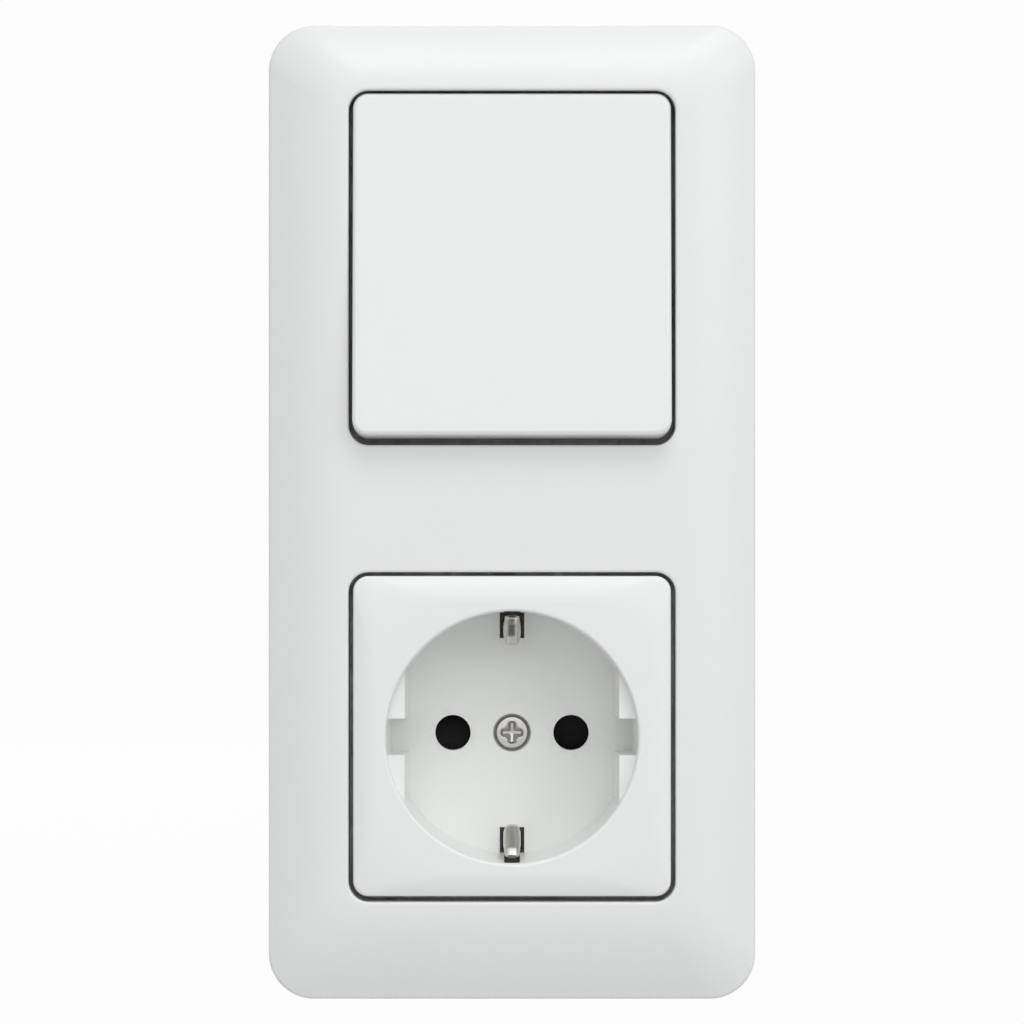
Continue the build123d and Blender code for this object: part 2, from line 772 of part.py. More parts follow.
# Wire springs: bent leaves that press each wire against its contact's tail
with BuildPart() as wire_springs:
    leaf_front = switch_chamber_height - wire_leaf_gap
    leaf_end = switch_back_height + wire_leaf_foot
    leaf_back = terminal_reach - chamber_size / 2 + wire_leaf_gap + wire_leaf_sheet / 2
    leaf_planes = [
        (side_on(0, switch_z), 1),
        (side_on(0, switch_z), -1),
        (Plane(origin=(0, 0, switch_z), x_dir=(1, 0, 0), z_dir=(0, 0, -1)), 1),
    ]
    for leaf_plane, end in leaf_planes:
        with BuildSketch(leaf_plane):
            with BuildLine():
                Polyline(
                    (end * (terminal_reach - wire_leaf_press), leaf_end + wire_leaf_bend),
                    (end * (leaf_back + wire_leaf_foot), leaf_front - wire_leaf_foot),
                    (end * leaf_back, leaf_front - wire_leaf_bend),
                    (end * leaf_back, leaf_end),
                )
                offset(amount=wire_leaf_sheet / 2, side=Side.BOTH, closed=True)
            make_face()
        extrude(amount=wire_leaf_width / 2, both=True)
finish(wire_springs, "wire_springs")

# Socket cover: a pillowed square plate that sinks into the round recess of the outlet
with BuildPart() as socket_cover:
    cover_length = socket_window_height - 2 * cover_end_gap
    with BuildSketch(facing(bracket_thickness, z=socket_z + cover_rise)):
        RectangleRounded(cover_width, cover_length, cover_corner)
    extrude(amount=cover_edge_height - bracket_thickness)
    for share, climb in ((0, 0), (0.5, 0.72), (1, 1)):
        pillow = cover_edge_height + climb * (cover_rim_height - cover_edge_height)
        with BuildSketch(facing(pillow, z=socket_z + (1 - share) * cover_rise)):
            RectangleRounded(
                cover_width + share * (cover_plateau - cover_width),
                cover_length + share * (cover_plateau - cover_length),
                cover_corner + share * (cover_plateau_corner - cover_corner),
            )
    loft()
    edge_line = socket_cover.edges().filter_by_position(
        Axis.Y, -cover_edge_height - 0.01, -cover_edge_height + 0.01
    )
    fillet(edge_line, radius=cover_edge_round)
    with BuildSketch(facing(bracket_thickness, z=socket_z + cover_rise)):
        RectangleRounded(
            cover_width - 2 * cover_skin, cover_length - 2 * cover_skin, cover_corner - cover_skin / 2
        )
    extrude(amount=cover_edge_height - cover_skin - bracket_thickness, mode=Mode.SUBTRACT)
    with BuildSketch(facing(floor_back, z=socket_z)):
        Circle(recess_floor_radius + bowl_wall)
    extrude(amount=cover_edge_height - floor_back - cover_skin / 2)
    # The recess, with two pairs of guide blocks and the keyways between them
    with BuildSketch(facing(cover_rim_height, z=socket_z)):
        Circle(recess_rim_radius)
    with BuildSketch(facing(floor_height, z=socket_z)):
        Circle(recess_floor_radius)
    loft(mode=Mode.SUBTRACT)
    rim = socket_cover.faces().sort_by(Axis.Y)[0]
    fillet([edge for wire in rim.inner_wires() for edge in wire.edges()], radius=recess_rim_round)
    guide_near = keyway_width / 2
    guide_near_outer = (guide_root_radius**2 - guide_near**2) ** 0.5 - guide_bite
    for side in (-1, 1):
        for end in (-1, 1):
            sections = [
                (cover_rim_height - guide_drop, guide_half_gap),
                (floor_height, guide_half_gap - guide_draft),
            ]
            for height, flat in sections:
                with BuildSketch(facing(height, z=socket_z)):
                    with BuildLine():
                        Polyline(
                            (side * flat, end * guide_near),
                            (side * guide_near_outer, end * guide_near),
                            (side * guide_far_outer, end * guide_end),
                            (side * flat, end * guide_end),
                            close=True,
                        )
                    make_face()
            loft()
    # Through the floor: two pin holes, the seat of the centre screw and the clip windows
    with BuildSketch(facing(floor_height, z=socket_z)):
        with Locations((-pin_spacing / 2, 0), (pin_spacing / 2, 0)):
            Circle(pin_hole_radius)
        Circle(screw_radius + screw_clearance)
        window_middle = recess_floor_radius - clip_window_reach / 2
        with Locations((0, -window_middle), (0, window_middle)):
            Rectangle(clip_window_width, clip_window_reach)
    extrude(amount=-floor_thickness, mode=Mode.SUBTRACT)
    with BuildSketch(facing(floor_height, z=socket_z)):
        Circle(screw_recess_radius)
    extrude(amount=-screw_recess_depth, mode=Mode.SUBTRACT)
    with BuildSketch(facing(floor_back, z=socket_z)):
        notch_middle = recess_floor_radius + bowl_wall / 2
        with Locations((0, -notch_middle), (0, notch_middle)):
            Rectangle(clip_notch_width, 2 * bowl_wall)
    extrude(amount=cover_rim_height - clip_notch_top - floor_back, mode=Mode.SUBTRACT)
finish(socket_cover, "socket_cover")

# Centre screw: holds the cover down in the threaded bush of the base
with BuildPart() as centre_screw:
    seat_height = floor_height - screw_recess_depth
    with BuildSketch(facing(seat_height, z=socket_z)):
        Circle(screw_head_radius)
    extrude(amount=screw_head_height)
    fillet(centre_screw.faces().sort_by(Axis.Y)[0].edges(), radius=screw_head_round)
    with BuildSketch(facing(seat_height, z=socket_z)):
        Circle(screw_radius)
    extrude(amount=-screw_length)
    with BuildSketch(facing(seat_height + screw_head_height, z=socket_z)):
        Rectangle(screw_cross_length, screw_cross_width)
        Rectangle(screw_cross_width, screw_cross_length)
    extrude(amount=-screw_cross_depth, mode=Mode.SUBTRACT)
finish(centre_screw, "centre_screw")

with BuildPart() as centre_bush:
    with BuildSketch(facing(floor_back, z=socket_z)):
        Circle(bush_radius)
        Circle(screw_radius + screw_clearance, mode=Mode.SUBTRACT)
    extrude(amount=bush_bottom_height - floor_back)
finish(centre_bush, "centre_bush")

# Socket base: a thermoset moulding that holds the bowl, the contacts and the terminals
pin_spots = [(-pin_spacing / 2, 0), (pin_spacing / 2, 0)]
terminal_spots = [(x, terminal_place) for x in (-pin_spacing / 2, 0, pin_spacing / 2)]
strip_top = block_top - bow_sheet
earth_terminal_back = strip_top - terminal_length
terminal_backs = [
    (-pin_spacing / 2, pin_contact_bottom),
    (0, earth_terminal_back),
    (pin_spacing / 2, pin_contact_bottom),
]

with BuildPart() as socket_base:
    with BuildSketch(facing(0, z=socket_z)):
        RectangleRounded(base_flange_width, base_flange_width, base_flange_corner)
    extrude(amount=-base_flange_thickness)
    with BuildSketch(facing(0, z=socket_z)):
        base_outline()
    extrude(amount=base_back_height)
    with BuildSketch(facing(0, z=socket_z)):
        Circle(base_pocket_radius)
    extrude(amount=floor_back, mode=Mode.SUBTRACT)
    with BuildSketch(facing(floor_back, z=socket_z)):
        Circle(shutter_room_radius)
        Circle(pillar_radius, mode=Mode.SUBTRACT)
        # A lug in the room's wall is the seat of the shutter's spring
        with Locations((shutter_spring_x, shutter_spring_end + shutter_room_radius / 2)):
            Rectangle(4 * shutter_spring_radius, shutter_room_radius, mode=Mode.SUBTRACT)
    extrude(amount=-shutter_room, mode=Mode.SUBTRACT)
    with BuildSketch(facing(0, z=socket_z)):
        with Locations(socket_rivets_at):
            Circle(rivet_shank + rivet_clearance)
    extrude(amount=-base_flange_thickness, mode=Mode.SUBTRACT)
    with BuildSketch(facing(floor_back, z=socket_z)):
        Circle(bush_radius)
    extrude(amount=base_back_height - floor_back, mode=Mode.SUBTRACT)
    # The trough of the earth bow, and a slot for each of its legs
    with BuildSketch(facing(block_top, z=socket_z)):
        Circle(bow_eye_radius + bow_clearance)
        Rectangle(bow_width + 2 * bow_clearance, 2 * (bow_leg_place + bow_sheet + bow_clearance))
        Circle(pillar_radius, mode=Mode.SUBTRACT)
    extrude(amount=-bow_sheet, mode=Mode.SUBTRACT)
    with BuildSketch(facing(floor_back, z=socket_z)):
        with Locations((0, -bow_leg_place), (0, bow_leg_place)):
            Rectangle(bow_width + 2 * bow_clearance, 3 * bow_sheet + 2 * bow_clearance)
    extrude(amount=block_top - floor_back, mode=Mode.SUBTRACT)
    # Pockets for the pin contacts, open to the front, and for the terminals, open to the back
    with BuildSketch(facing(block_top, z=socket_z)):
        with Locations(*pin_spots):
            Rectangle(pin_pocket_width, pin_pocket_length)
    extrude(amount=pin_contact_bottom - pin_contact_sheet - block_top, mode=Mode.SUBTRACT)
    with BuildSketch(facing(base_back_height, z=socket_z)):
        with Locations(terminal_spots[0], terminal_spots[2]):
            Rectangle(terminal_size, terminal_size)
        with Locations(*[(x, (terminal_place + pin_pocket_length / 2) / 2) for x, z in pin_spots]):
            Rectangle(pin_contact_width + tail_clearance, terminal_place - pin_pocket_length / 2)
    extrude(amount=pin_contact_bottom + terminal_length - base_back_height, mode=Mode.SUBTRACT)
    with BuildSketch(facing(base_back_height, z=socket_z)):
        with Locations(terminal_spots[1]):
            Rectangle(terminal_size, terminal_size)
    extrude(amount=strip_top - base_back_height, mode=Mode.SUBTRACT)
    # Round holes in the top wall let a screwdriver reach the terminal screws
    with BuildSketch(Plane.XY.offset(socket_z + terminal_place)):
        with Locations(*[(x, -back - terminal_length / 2) for x, back in terminal_backs]):
            Circle(terminal_screw_head + terminal_screw_room)
    extrude(amount=base_radius, mode=Mode.SUBTRACT)
finish(socket_base, "socket_base")

finish(back_plate(facing(base_back_height, z=socket_z), base_outline, terminal_spots), "socket_back_plate")

# Earth bow: one sprung steel strip with an eye round the pillar and a clip at each end
with BuildPart() as earth_bow:
    with BuildSketch(side_on(0, socket_z)):
        with BuildLine():
            strip_middle = strip_top + bow_sheet / 2
            legs = [
                (bow_end_place, bow_end_height),
                (bow_tip_half_gap + bow_sheet / 2, bow_tip_height),
                (bow_leg_place, floor_back),
                (bow_leg_place, strip_middle),
            ]
            path = Polyline(*legs, *[(-z, height) for z, height in reversed(legs)])
            fillet([corner for corner in path.vertices()][1:-1], radius=bow_round)
            offset(amount=bow_sheet / 2, side=Side.BOTH, closed=True)
        make_face()
    extrude(amount=bow_width / 2, both=True)
    with BuildSketch(facing(strip_top, z=socket_z)):
        Circle(bow_eye_radius)
    extrude(amount=bow_sheet)
    with BuildSketch(facing(strip_top, z=socket_z)):
        Circle(pillar_radius + screw_clearance)
    extrude(amount=bow_sheet, mode=Mode.SUBTRACT)
    # Above the floor of the recess both clips grow narrower towards their ends
    for side in (-1, 1):
        for end in (-1, 1):
            with BuildSketch(facing(floor_height, z=socket_z)):
                with BuildLine():
                    Polyline(
                        (side * bow_width / 2, end * (bow_tip_half_gap + bow_round)),
                        (side * (bow_width / 2 - bow_taper), end * (bow_end_place + bow_sheet)),
                        (side * bow_width, end * (bow_end_place + bow_sheet)),
                        (side * bow_width, end * (bow_tip_half_gap + bow_round)),
                        close=True,
                    )
                make_face()
            extrude(amount=bow_end_height + bow_sheet - floor_height, mode=Mode.SUBTRACT)
finish(earth_bow, "earth_bow")


# Pin contacts: bronze strips with two sprung leaves that grip the pin from above and below
def pin_contact(x):
    bottom = pin_contact_bottom - pin_contact_sheet / 2
    pinch = (pin_gap + pin_contact_sheet) / 2
    leaf = [
        (pinch + pin_leaf_flare, block_top - pin_leaf_mouth),
        (pinch, block_top - pin_leaf_throat),
        (pinch + pin_leaf_foot, bottom),
    ]
    with BuildPart() as contact:
        for end in (-1, 1):
            with BuildSketch(side_on(x, socket_z)):
                with BuildLine():
                    Polyline(*[(end * z, height) for z, height in leaf], (0, bottom))
                    offset(amount=pin_contact_sheet / 2, side=Side.BOTH, closed=True)
                make_face()
            extrude(amount=pin_contact_width / 2, both=True)
        strip_length = terminal_place + pin_strip_past
        with BuildSketch(facing(pin_contact_bottom, x, socket_z + strip_length / 2)):
            Rectangle(pin_contact_width, strip_length)
        extrude(amount=-pin_contact_sheet)
    return contact


finish(pin_contact(-pin_spacing / 2), "line_contact")
finish(pin_contact(pin_spacing / 2), "neutral_contact")


# Terminals: brass blocks with a wire hole from the back and a clamping screw from above
def terminal(x, back):
    with BuildPart() as block:
        with BuildSketch(facing(back, x, socket_z + terminal_place)):
            Rectangle(terminal_size, terminal_size)
        extrude(amount=terminal_length)
        with BuildSketch(facing(back, x, socket_z + terminal_place)):
            Circle(wire_hole_radius)
        extrude(amount=terminal_length - terminal_end, mode=Mode.SUBTRACT)
        with BuildSketch(Plane.XY.offset(socket_z + terminal_place + terminal_size / 2)):
            with Locations((x, -back - terminal_length / 2)):
                Circle(terminal_screw_radius + screw_clearance)
        extrude(amount=-terminal_size / 2, mode=Mode.SUBTRACT)
    return block


for label, (x, back) in zip(("line_terminal", "earth_terminal", "neutral_terminal"), terminal_backs):
    finish(terminal(x, back), label)

with BuildPart() as terminal_screws:
    screw_seat = socket_z + terminal_place + terminal_size / 2 + terminal_screw_length / 3
    for x, back in terminal_backs:
        with BuildSketch(Plane.XY.offset(screw_seat)):
            with Locations((x, -back - terminal_length / 2)):
                Circle(terminal_screw_head)
        extrude(amount=terminal_screw_head_height)
        with BuildSketch(Plane.XY.offset(screw_seat)):
            with Locations((x, -back - terminal_length / 2)):
                Circle(terminal_screw_radius)
        extrude(amount=-terminal_screw_length)
        with BuildSketch(Plane.XY.offset(screw_seat + terminal_screw_head_height)):
            with Locations((x, -back - terminal_length / 2)):
                Rectangle(2 * terminal_screw_head, terminal_slot_width)
        extrude(amount=-terminal_slot_depth, mode=Mode.SUBTRACT)
finish(terminal_screws, "terminal_screws")

# Shutter: a two-winged gate that turns on the pillar and hides both pin holes
with BuildPart() as shutter:
    shutter_front = floor_back - (shutter_room - shutter_thickness) / 2
    with BuildSketch(facing(shutter_front, z=socket_z)):
        with Locations(*pin_spots):
            Circle(shutter_pad_radius)
        Rectangle(pin_spacing, shutter_arm_width)
        Circle(shutter_hub_radius)
        Circle(pillar_radius + shutter_clearance, mode=Mode.SUBTRACT)
    extrude(amount=-shutter_thickness)
    # A ramp on each wing turns the shutter aside when both pins press on it together
    for side in (-1, 1):
        with BuildSketch(side_on(side * pin_spacing / 2, socket_z)):
            with BuildLine():
                ramp_foot = -side * (shutter_pad_radius + shutter_clearance)
                Polyline(
                    (ramp_foot, shutter_front),
                    (ramp_foot, shutter_front - shutter_ramp_drop),
                    (side * shutter_pad_radius / 2, shutter_front),
                    close=True,
                )
            make_face()
        extrude(amount=shutter_pad_radius + shutter_clearance, both=True, mode=Mode.SUBTRACT)
finish(shutter, "shutter")

with BuildPart() as shutter_spring:
    spring_height = floor_back - shutter_room / 2
    spring_foot = socket_z + shutter_spring_start + shutter_spring_wire
    with BuildLine():
        shutter_coil = Helix(
            pitch=(shutter_spring_end - shutter_spring_start) / shutter_spring_turns,
            height=shutter_spring_end - shutter_spring_start - 2 * shutter_spring_wire,
            radius=shutter_spring_radius - shutter_spring_wire,
            center=(shutter_spring_x, -spring_height, spring_foot),
            direction=(0, 0, 1),
        )
    with BuildSketch(Plane(origin=shutter_coil @ 0, z_dir=shutter_coil % 0)):
        RegularPolygon(shutter_spring_wire, 4)
    sweep(path=shutter_coil)
finish(shutter_spring, "shutter_spring")
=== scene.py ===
from math import radians

import bpy
import numpy as np
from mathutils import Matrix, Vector


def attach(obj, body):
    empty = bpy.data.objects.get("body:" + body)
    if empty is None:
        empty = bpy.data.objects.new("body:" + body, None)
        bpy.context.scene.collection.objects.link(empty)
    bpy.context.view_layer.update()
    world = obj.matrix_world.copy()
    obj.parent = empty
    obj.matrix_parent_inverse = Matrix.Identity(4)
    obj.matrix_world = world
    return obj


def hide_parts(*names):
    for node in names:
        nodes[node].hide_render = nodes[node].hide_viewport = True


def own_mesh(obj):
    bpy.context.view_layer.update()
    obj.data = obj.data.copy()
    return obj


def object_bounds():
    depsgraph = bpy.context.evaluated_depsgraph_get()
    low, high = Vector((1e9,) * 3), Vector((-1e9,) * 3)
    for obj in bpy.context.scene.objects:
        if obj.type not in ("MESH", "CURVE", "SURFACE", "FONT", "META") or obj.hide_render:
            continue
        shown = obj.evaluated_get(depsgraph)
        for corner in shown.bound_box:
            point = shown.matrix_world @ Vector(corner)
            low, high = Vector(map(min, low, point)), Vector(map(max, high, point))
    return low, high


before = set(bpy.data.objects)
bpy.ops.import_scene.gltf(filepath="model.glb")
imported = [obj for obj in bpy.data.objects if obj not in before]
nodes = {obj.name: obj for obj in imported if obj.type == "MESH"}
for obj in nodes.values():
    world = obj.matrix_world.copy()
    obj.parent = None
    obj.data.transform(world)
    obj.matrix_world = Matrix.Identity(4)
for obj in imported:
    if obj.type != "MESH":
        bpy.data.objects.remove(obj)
cad_low, cad_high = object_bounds()

# The studio: the unit is photographed square on with a long lens, against plain white. Here it
# hangs a little above a pale floor. Wide soft lamps stand above it, in front and on the right, and
# one behind lights its back.
camera_distance = 0.800
front_distance = 0.790
front_scale = 6344.0
image_width = 1024
sensor_width = 36.0
far_limit = 50
lamp_colour = (0.973, 0.988, 1.0)
sky_light = 0.50
sky_white = 0.98
floor_half = 6.0
floor_drop = 0.03
floor_grey = 0.62
floor_roughness = 0.9
floor_white_share = 0.95

camera_data = bpy.data.cameras.new("camera")
camera_data.sensor_width = sensor_width
camera_data.lens = front_scale * front_distance / image_width * sensor_width
camera_data.clip_end = far_limit
camera = bpy.data.objects.new("camera", camera_data)
camera.location = (0, -camera_distance, 0)
camera.rotation_euler = (radians(90), 0, 0)
bpy.context.scene.collection.objects.link(camera)
bpy.context.scene.camera = camera
bpy.context.scene.view_settings.view_transform = "Standard"


def arithmetic(tree, operation, *values):
    """A math node whose inputs are sockets or plain numbers."""
    node = tree.nodes.new("ShaderNodeMath")
    node.operation = operation
    for socket, value in zip(node.inputs, values):
        if isinstance(value, bpy.types.NodeSocket):
            tree.links.new(value, socket)
        else:
            socket.default_value = value
    return node.outputs[0]


def seen_white(tree, lit, white, output_socket, share):
    """Mix a lit shader with plain white for what the camera and shiny surfaces see."""
    path = tree.nodes.new("ShaderNodeLightPath").outputs
    shiny = arithmetic(tree, "ADD", path["Is Glossy Ray"], path["Is Transmission Ray"])
    either = arithmetic(tree, "ADD", path["Is Camera Ray"], shiny)
    once = arithmetic(tree, "MINIMUM", either, 1.0)
    mix = tree.nodes.new("ShaderNodeMixShader")
    tree.links.new(arithmetic(tree, "MULTIPLY", once, share), mix.inputs[0])
    tree.links.new(lit, mix.inputs[1])
    tree.links.new(white, mix.inputs[2])
    tree.links.new(mix.outputs[0], output_socket)


def soft_box(name, place, width, height, power):
    """A rectangular studio lamp that faces the middle of the unit."""
    lamp = bpy.data.lights.new(name, "AREA")
    lamp.shape = "RECTANGLE"
    lamp.size = width
    lamp.size_y = height
    lamp.energy = power
    lamp.color = lamp_colour
    lamp_object = bpy.data.objects.new(name, lamp)
    lamp_object.location = place
    lamp_object.rotation_euler = (-Vector(place)).to_track_quat("-Z", "Y").to_euler()
    lamp_object.visible_camera = False
    bpy.context.scene.collection.objects.link(lamp_object)


world = bpy.data.worlds.new("studio")
world.use_nodes = True
bpy.context.scene.world = world
tree = world.node_tree
soft_light = tree.nodes["Background"]
soft_light.inputs["Color"].default_value = (*lamp_colour, 1)
soft_light.inputs["Strength"].default_value = sky_light
white_sky = tree.nodes.new("ShaderNodeBackground")
white_sky.inputs["Color"].default_value = (sky_white, sky_white, sky_white, 1)
world_surface = tree.nodes["World Output"].inputs["Surface"]
seen_white(tree, soft_light.outputs[0], white_sky.outputs[0], world_surface, 1.0)

floor_z = cad_low[2] - floor_drop
floor_corners = [
    (across * floor_half, along * floor_half, floor_z)
    for across, along in ((-1, -1), (1, -1), (1, 1), (-1, 1))
]
floor_mesh = bpy.data.meshes.new("floor")
floor_mesh.from_pydata(floor_corners, [], [(0, 1, 2, 3)])
floor = bpy.data.objects.new("floor", floor_mesh)
bpy.context.scene.collection.objects.link(floor)
floor_paint = bpy.data.materials.new("pale_floor")
floor_paint.use_nodes = True
tree = floor_paint.node_tree
paint = tree.nodes["Principled BSDF"]
paint.inputs["Base Color"].default_value = (floor_grey, floor_grey, floor_grey, 1)
paint.inputs["Roughness"].default_value = floor_roughness
glow = tree.nodes.new("ShaderNodeEmission")
floor_surface = tree.nodes["Material Output"].inputs["Surface"]
seen_white(tree, paint.outputs[0], glow.outputs[0], floor_surface, floor_white_share)
floor_mesh.materials.append(floor_paint)

soft_box("lamp_high", place=(0.15, -0.75, 1.05), width=0.9, height=0.6, power=5.2)
soft_box("lamp_upper_front", place=(0.1, -1.3, 0.62), width=1.0, height=0.5, power=2.1)
soft_box("lamp_front", place=(-0.2, -1.9, 0.1), width=1.4, height=1.4, power=2.1)
soft_box("lamp_right", place=(0.95, -1.0, 0.4), width=0.6, height=0.8, power=2.5)
soft_box("lamp_behind", place=(-0.4, 1.4, 0.7), width=1.0, height=1.0, power=8.0)

# The cover frame is injection moulded in white thermoplastic. Its skin has a very fine grain, is a
# little uneven where the melt cooled, and carries faint wiping marks. It snaps over both brackets.
frame_white = (0.856, 0.861, 0.841)
frame_shade = (0.72, 0.715, 0.68)


def noise(tree, vector, scale, detail=2.0, distortion=0.0):
    """Noise between 0 and 1 over a vector, with scale patches in each metre."""
    node = tree.nodes.new("ShaderNodeTexNoise")
    tree.links.new(vector, node.inputs["Vector"])
    node.inputs["Scale"].default_value = scale
    node.inputs["Detail"].default_value = detail
    node.inputs["Distortion"].default_value = distortion
    return node.outputs["Fac"]


def stretched(tree, vector, stretch, turn=(0, 0, 0)):
    """The vector turned by degrees and then scaled along each axis."""
    node = tree.nodes.new("ShaderNodeMapping")
    node.vector_type = "TEXTURE"
    node.inputs["Rotation"].default_value = [radians(angle) for angle in turn]
    node.inputs["Scale"].default_value = [1 / number for number in stretch]
    tree.links.new(vector, node.inputs["Vector"])
    return node.outputs[0]


def remap(tree, value, low, high, out_low=0.0, out_high=1.0):
    """Carry the range low to high smoothly over to out_low to out_high."""
    node = tree.nodes.new("ShaderNodeMapRange")
    node.interpolation_type = "SMOOTHSTEP"
    tree.links.new(value, node.inputs["Value"])
    labels = ("From Min", "From Max", "To Min", "To Max")
    for label, number in zip(labels, (low, high, out_low, out_high)):
        node.inputs[label].default_value = number
    return node.outputs[0]


def blend_colours(tree, share, first, second):
    """Mix two colours, each a socket or plain numbers."""
    node = tree.nodes.new("ShaderNodeMix")
    node.data_type = "RGBA"
    tree.links.new(share, node.inputs[0])
    for socket, colour in ((node.inputs[6], first), (node.inputs[7], second)):
        if isinstance(colour, bpy.types.NodeSocket):
            tree.links.new(colour, socket)
        else:
            socket.default_value = (*colour, 1)
    return node.outputs[2]


def product(tree, *values):
    """The product of sockets, or of sockets and plain numbers."""
    total = values[0]
    for value in values[1:]:
        total = arithmetic(tree, "MULTIPLY", total, value)
    return total


def weighted_sum(tree, start, *terms):
    """start plus each (socket, weight) pair's product."""
    total = start
    for value, weight in terms:
        total = arithmetic(tree, "ADD", total, product(tree, value, weight))
    return total


def new_group(name, settings, results):
    """An empty shader group: a Vector and the named settings go in, the named results come out."""
    group = bpy.data.node_groups.new(name, "ShaderNodeTree")
    group.interface.new_socket("Vector", in_out="INPUT", socket_type="NodeSocketVector")
    for label, value in settings.items():
        kind = "NodeSocketColor" if isinstance(value, tuple) else "NodeSocketFloat"
        socket = group.interface.new_socket(label, in_out="INPUT", socket_type=kind)
        socket.default_value = (*value, 1) if isinstance(value, tuple) else value
    for label in results:
        kind = "NodeSocketColor" if label == "Base Color" else "NodeSocketFloat"
        group.interface.new_socket(label, in_out="OUTPUT", socket_type=kind)
    given = group.nodes.new("NodeGroupInput").outputs
    result = group.nodes.new("NodeGroupOutput").inputs
    return group, given, result


def place_group(tree, group, vector, **settings):
    """Place a group in a tree, feed its vector, and set or link its other inputs."""
    node = tree.nodes.new("ShaderNodeGroup")
    node.node_tree = group
    tree.links.new(vector, node.inputs["Vector"])
    for label, value in settings.items():
        socket = node.inputs[label.replace("_", " ")]
        if isinstance(value, bpy.types.NodeSocket):
            tree.links.new(value, socket)
        else:
            socket.default_value = (*value, 1) if isinstance(value, tuple) else value
    return node.outputs


def finished(name, group, relief, metallic=0.0, **settings):
    """A Principled material whose colour, roughness and relief come from one group.

    relief is how far a Height of 1 stands up, in metres. The settings are the group's inputs.
    """
    material = bpy.data.materials.new(name)
    material.use_nodes = True
    tree = material.node_tree
    place = tree.nodes.new("ShaderNodeTexCoord")
    texture = place_group(tree, group, place.outputs["Object"], **settings)
    shader = tree.nodes["Principled BSDF"]
    shader.inputs["Metallic"].default_value = metallic
    bump = tree.nodes.new("ShaderNodeBump")
    bump.inputs["Distance"].default_value = relief
    tree.links.new(texture["Base Color"], shader.inputs["Base Color"])
    tree.links.new(texture["Roughness"], shader.inputs["Roughness"])
    tree.links.new(texture["Height"], bump.inputs["Height"])
    tree.links.new(bump.outputs["Normal"], shader.inputs["Normal"])
    return material


def dress(material, *labels):
    """Give CAD nodes their material."""
    for label in labels:
        mesh = nodes[label].data
        mesh.materials.clear()
        mesh.materials.append(material)


# Scratches are long thin noise in three directions, in patches. Smears are broad wiping marks.
scuffs, given, result = new_group("handling_marks", {"Amount": 0.5}, ("Scratch", "Smear"))
vector = given["Vector"]
scratch_runs = (
    ((0, 27, 11), (2600, 90, 60)),
    ((14, -52, 0), (60, 110, 3100)),
    ((0, 71, -23), (2900, 80, 75)),
)
lines = [
    remap(scuffs, noise(scuffs, stretched(scuffs, vector, stretch, turn), 1.0, 1.0), 0.73, 0.79)
    for turn, stretch in scratch_runs
]
scratch = arithmetic(scuffs, "MAXIMUM", lines[0], lines[1])
scratch = arithmetic(scuffs, "MAXIMUM", scratch, lines[2])
patch = remap(scuffs, noise(scuffs, vector, 45.0, 3.0), 0.45, 0.65)
wiped = stretched(scuffs, vector, (55, 55, 130), (0, 20, 0))
smear = remap(scuffs, noise(scuffs, wiped, 1.0, 4.0, 1.6), 0.46, 0.72)
scuffs.links.new(product(scuffs, scratch, patch, given["Amount"]), result["Scratch"])
scuffs.links.new(product(scuffs, smear, given["Amount"]), result["Smear"])

moulded, given, result = new_group(
    "moulded_plastic",
    {
        "Colour": (0.8, 0.8, 0.8),
        "Shade": (0.6, 0.6, 0.58),
        "Gloss": 0.3,
        "Grain": 0.5,
        "Tone": 0.1,
        "Marks": 0.4,
    },
    ("Base Color", "Roughness", "Height"),
)
vector = given["Vector"]
grain = noise(moulded, vector, 3200.0, 3.0)
swell = noise(moulded, vector, 130.0, 2.0)
cloud = noise(moulded, vector, 38.0, 3.0, 0.6)
speck = remap(moulded, noise(moulded, vector, 1500.0, 1.0), 0.76, 0.82)
marks = place_group(moulded, scuffs, vector, Amount=given["Marks"])
uneven = product(moulded, weighted_sum(moulded, 0.0, (cloud, 0.7), (speck, 0.8)), given["Tone"])
tint = blend_colours(moulded, uneven, given["Colour"], given["Shade"])
skin = ((cloud, 0.05), (grain, 0.05), (marks["Smear"], 0.10), (marks["Scratch"], 0.22))
relief = ((swell, 1.2), (marks["Scratch"], -0.35))
fine_grain = product(moulded, grain, given["Grain"])
moulded.links.new(tint, result["Base Color"])
moulded.links.new(weighted_sum(moulded, given["Gloss"], *skin), result["Roughness"])
moulded.links.new(weighted_sum(moulded, fine_grain, *relief), result["Height"])

frame_plastic = finished(
    "frame_plastic",
    moulded,
    relief=6e-6,
    Colour=frame_white,
    Shade=frame_shade,
    Gloss=0.28,
    Grain=0.45,
    Tone=0.10,
    Marks=0.35,
)
dress(frame_plastic, "cover_frame")

# The rocker cap is pressed all day, so it is a little glossier and its finger marks are plainer. It
# snaps onto an acetal carrier, whose sprung brass plunger throws the see-saw contact behind it. The
# plunger's spring is round steel wire with flat ends. Sizes in mm.
cap_white = (0.862, 0.867, 0.847)
acetal_grey = (0.52, 0.54, 0.55)
acetal_shade = (0.35, 0.36, 0.35)
brass_colour = (0.74, 0.53, 0.24)
brass_stain = (0.30, 0.17, 0.06)
brass_bare = (0.86, 0.68, 0.36)
wire_colour = (0.46, 0.46, 0.45)
wire_stain = (0.20, 0.19, 0.18)
wear_width = 0.00025
pivot_y = -6.5
pivot_z = 35.5
rocker_lean = radians(5)
plunger_spring_radius = 1.28
plunger_spring_wire = 0.26
plunger_spring_foot = -4.19
plunger_spring_head = 0.14
plunger_spring_turns = 5
plunger_spring_end = 0.55


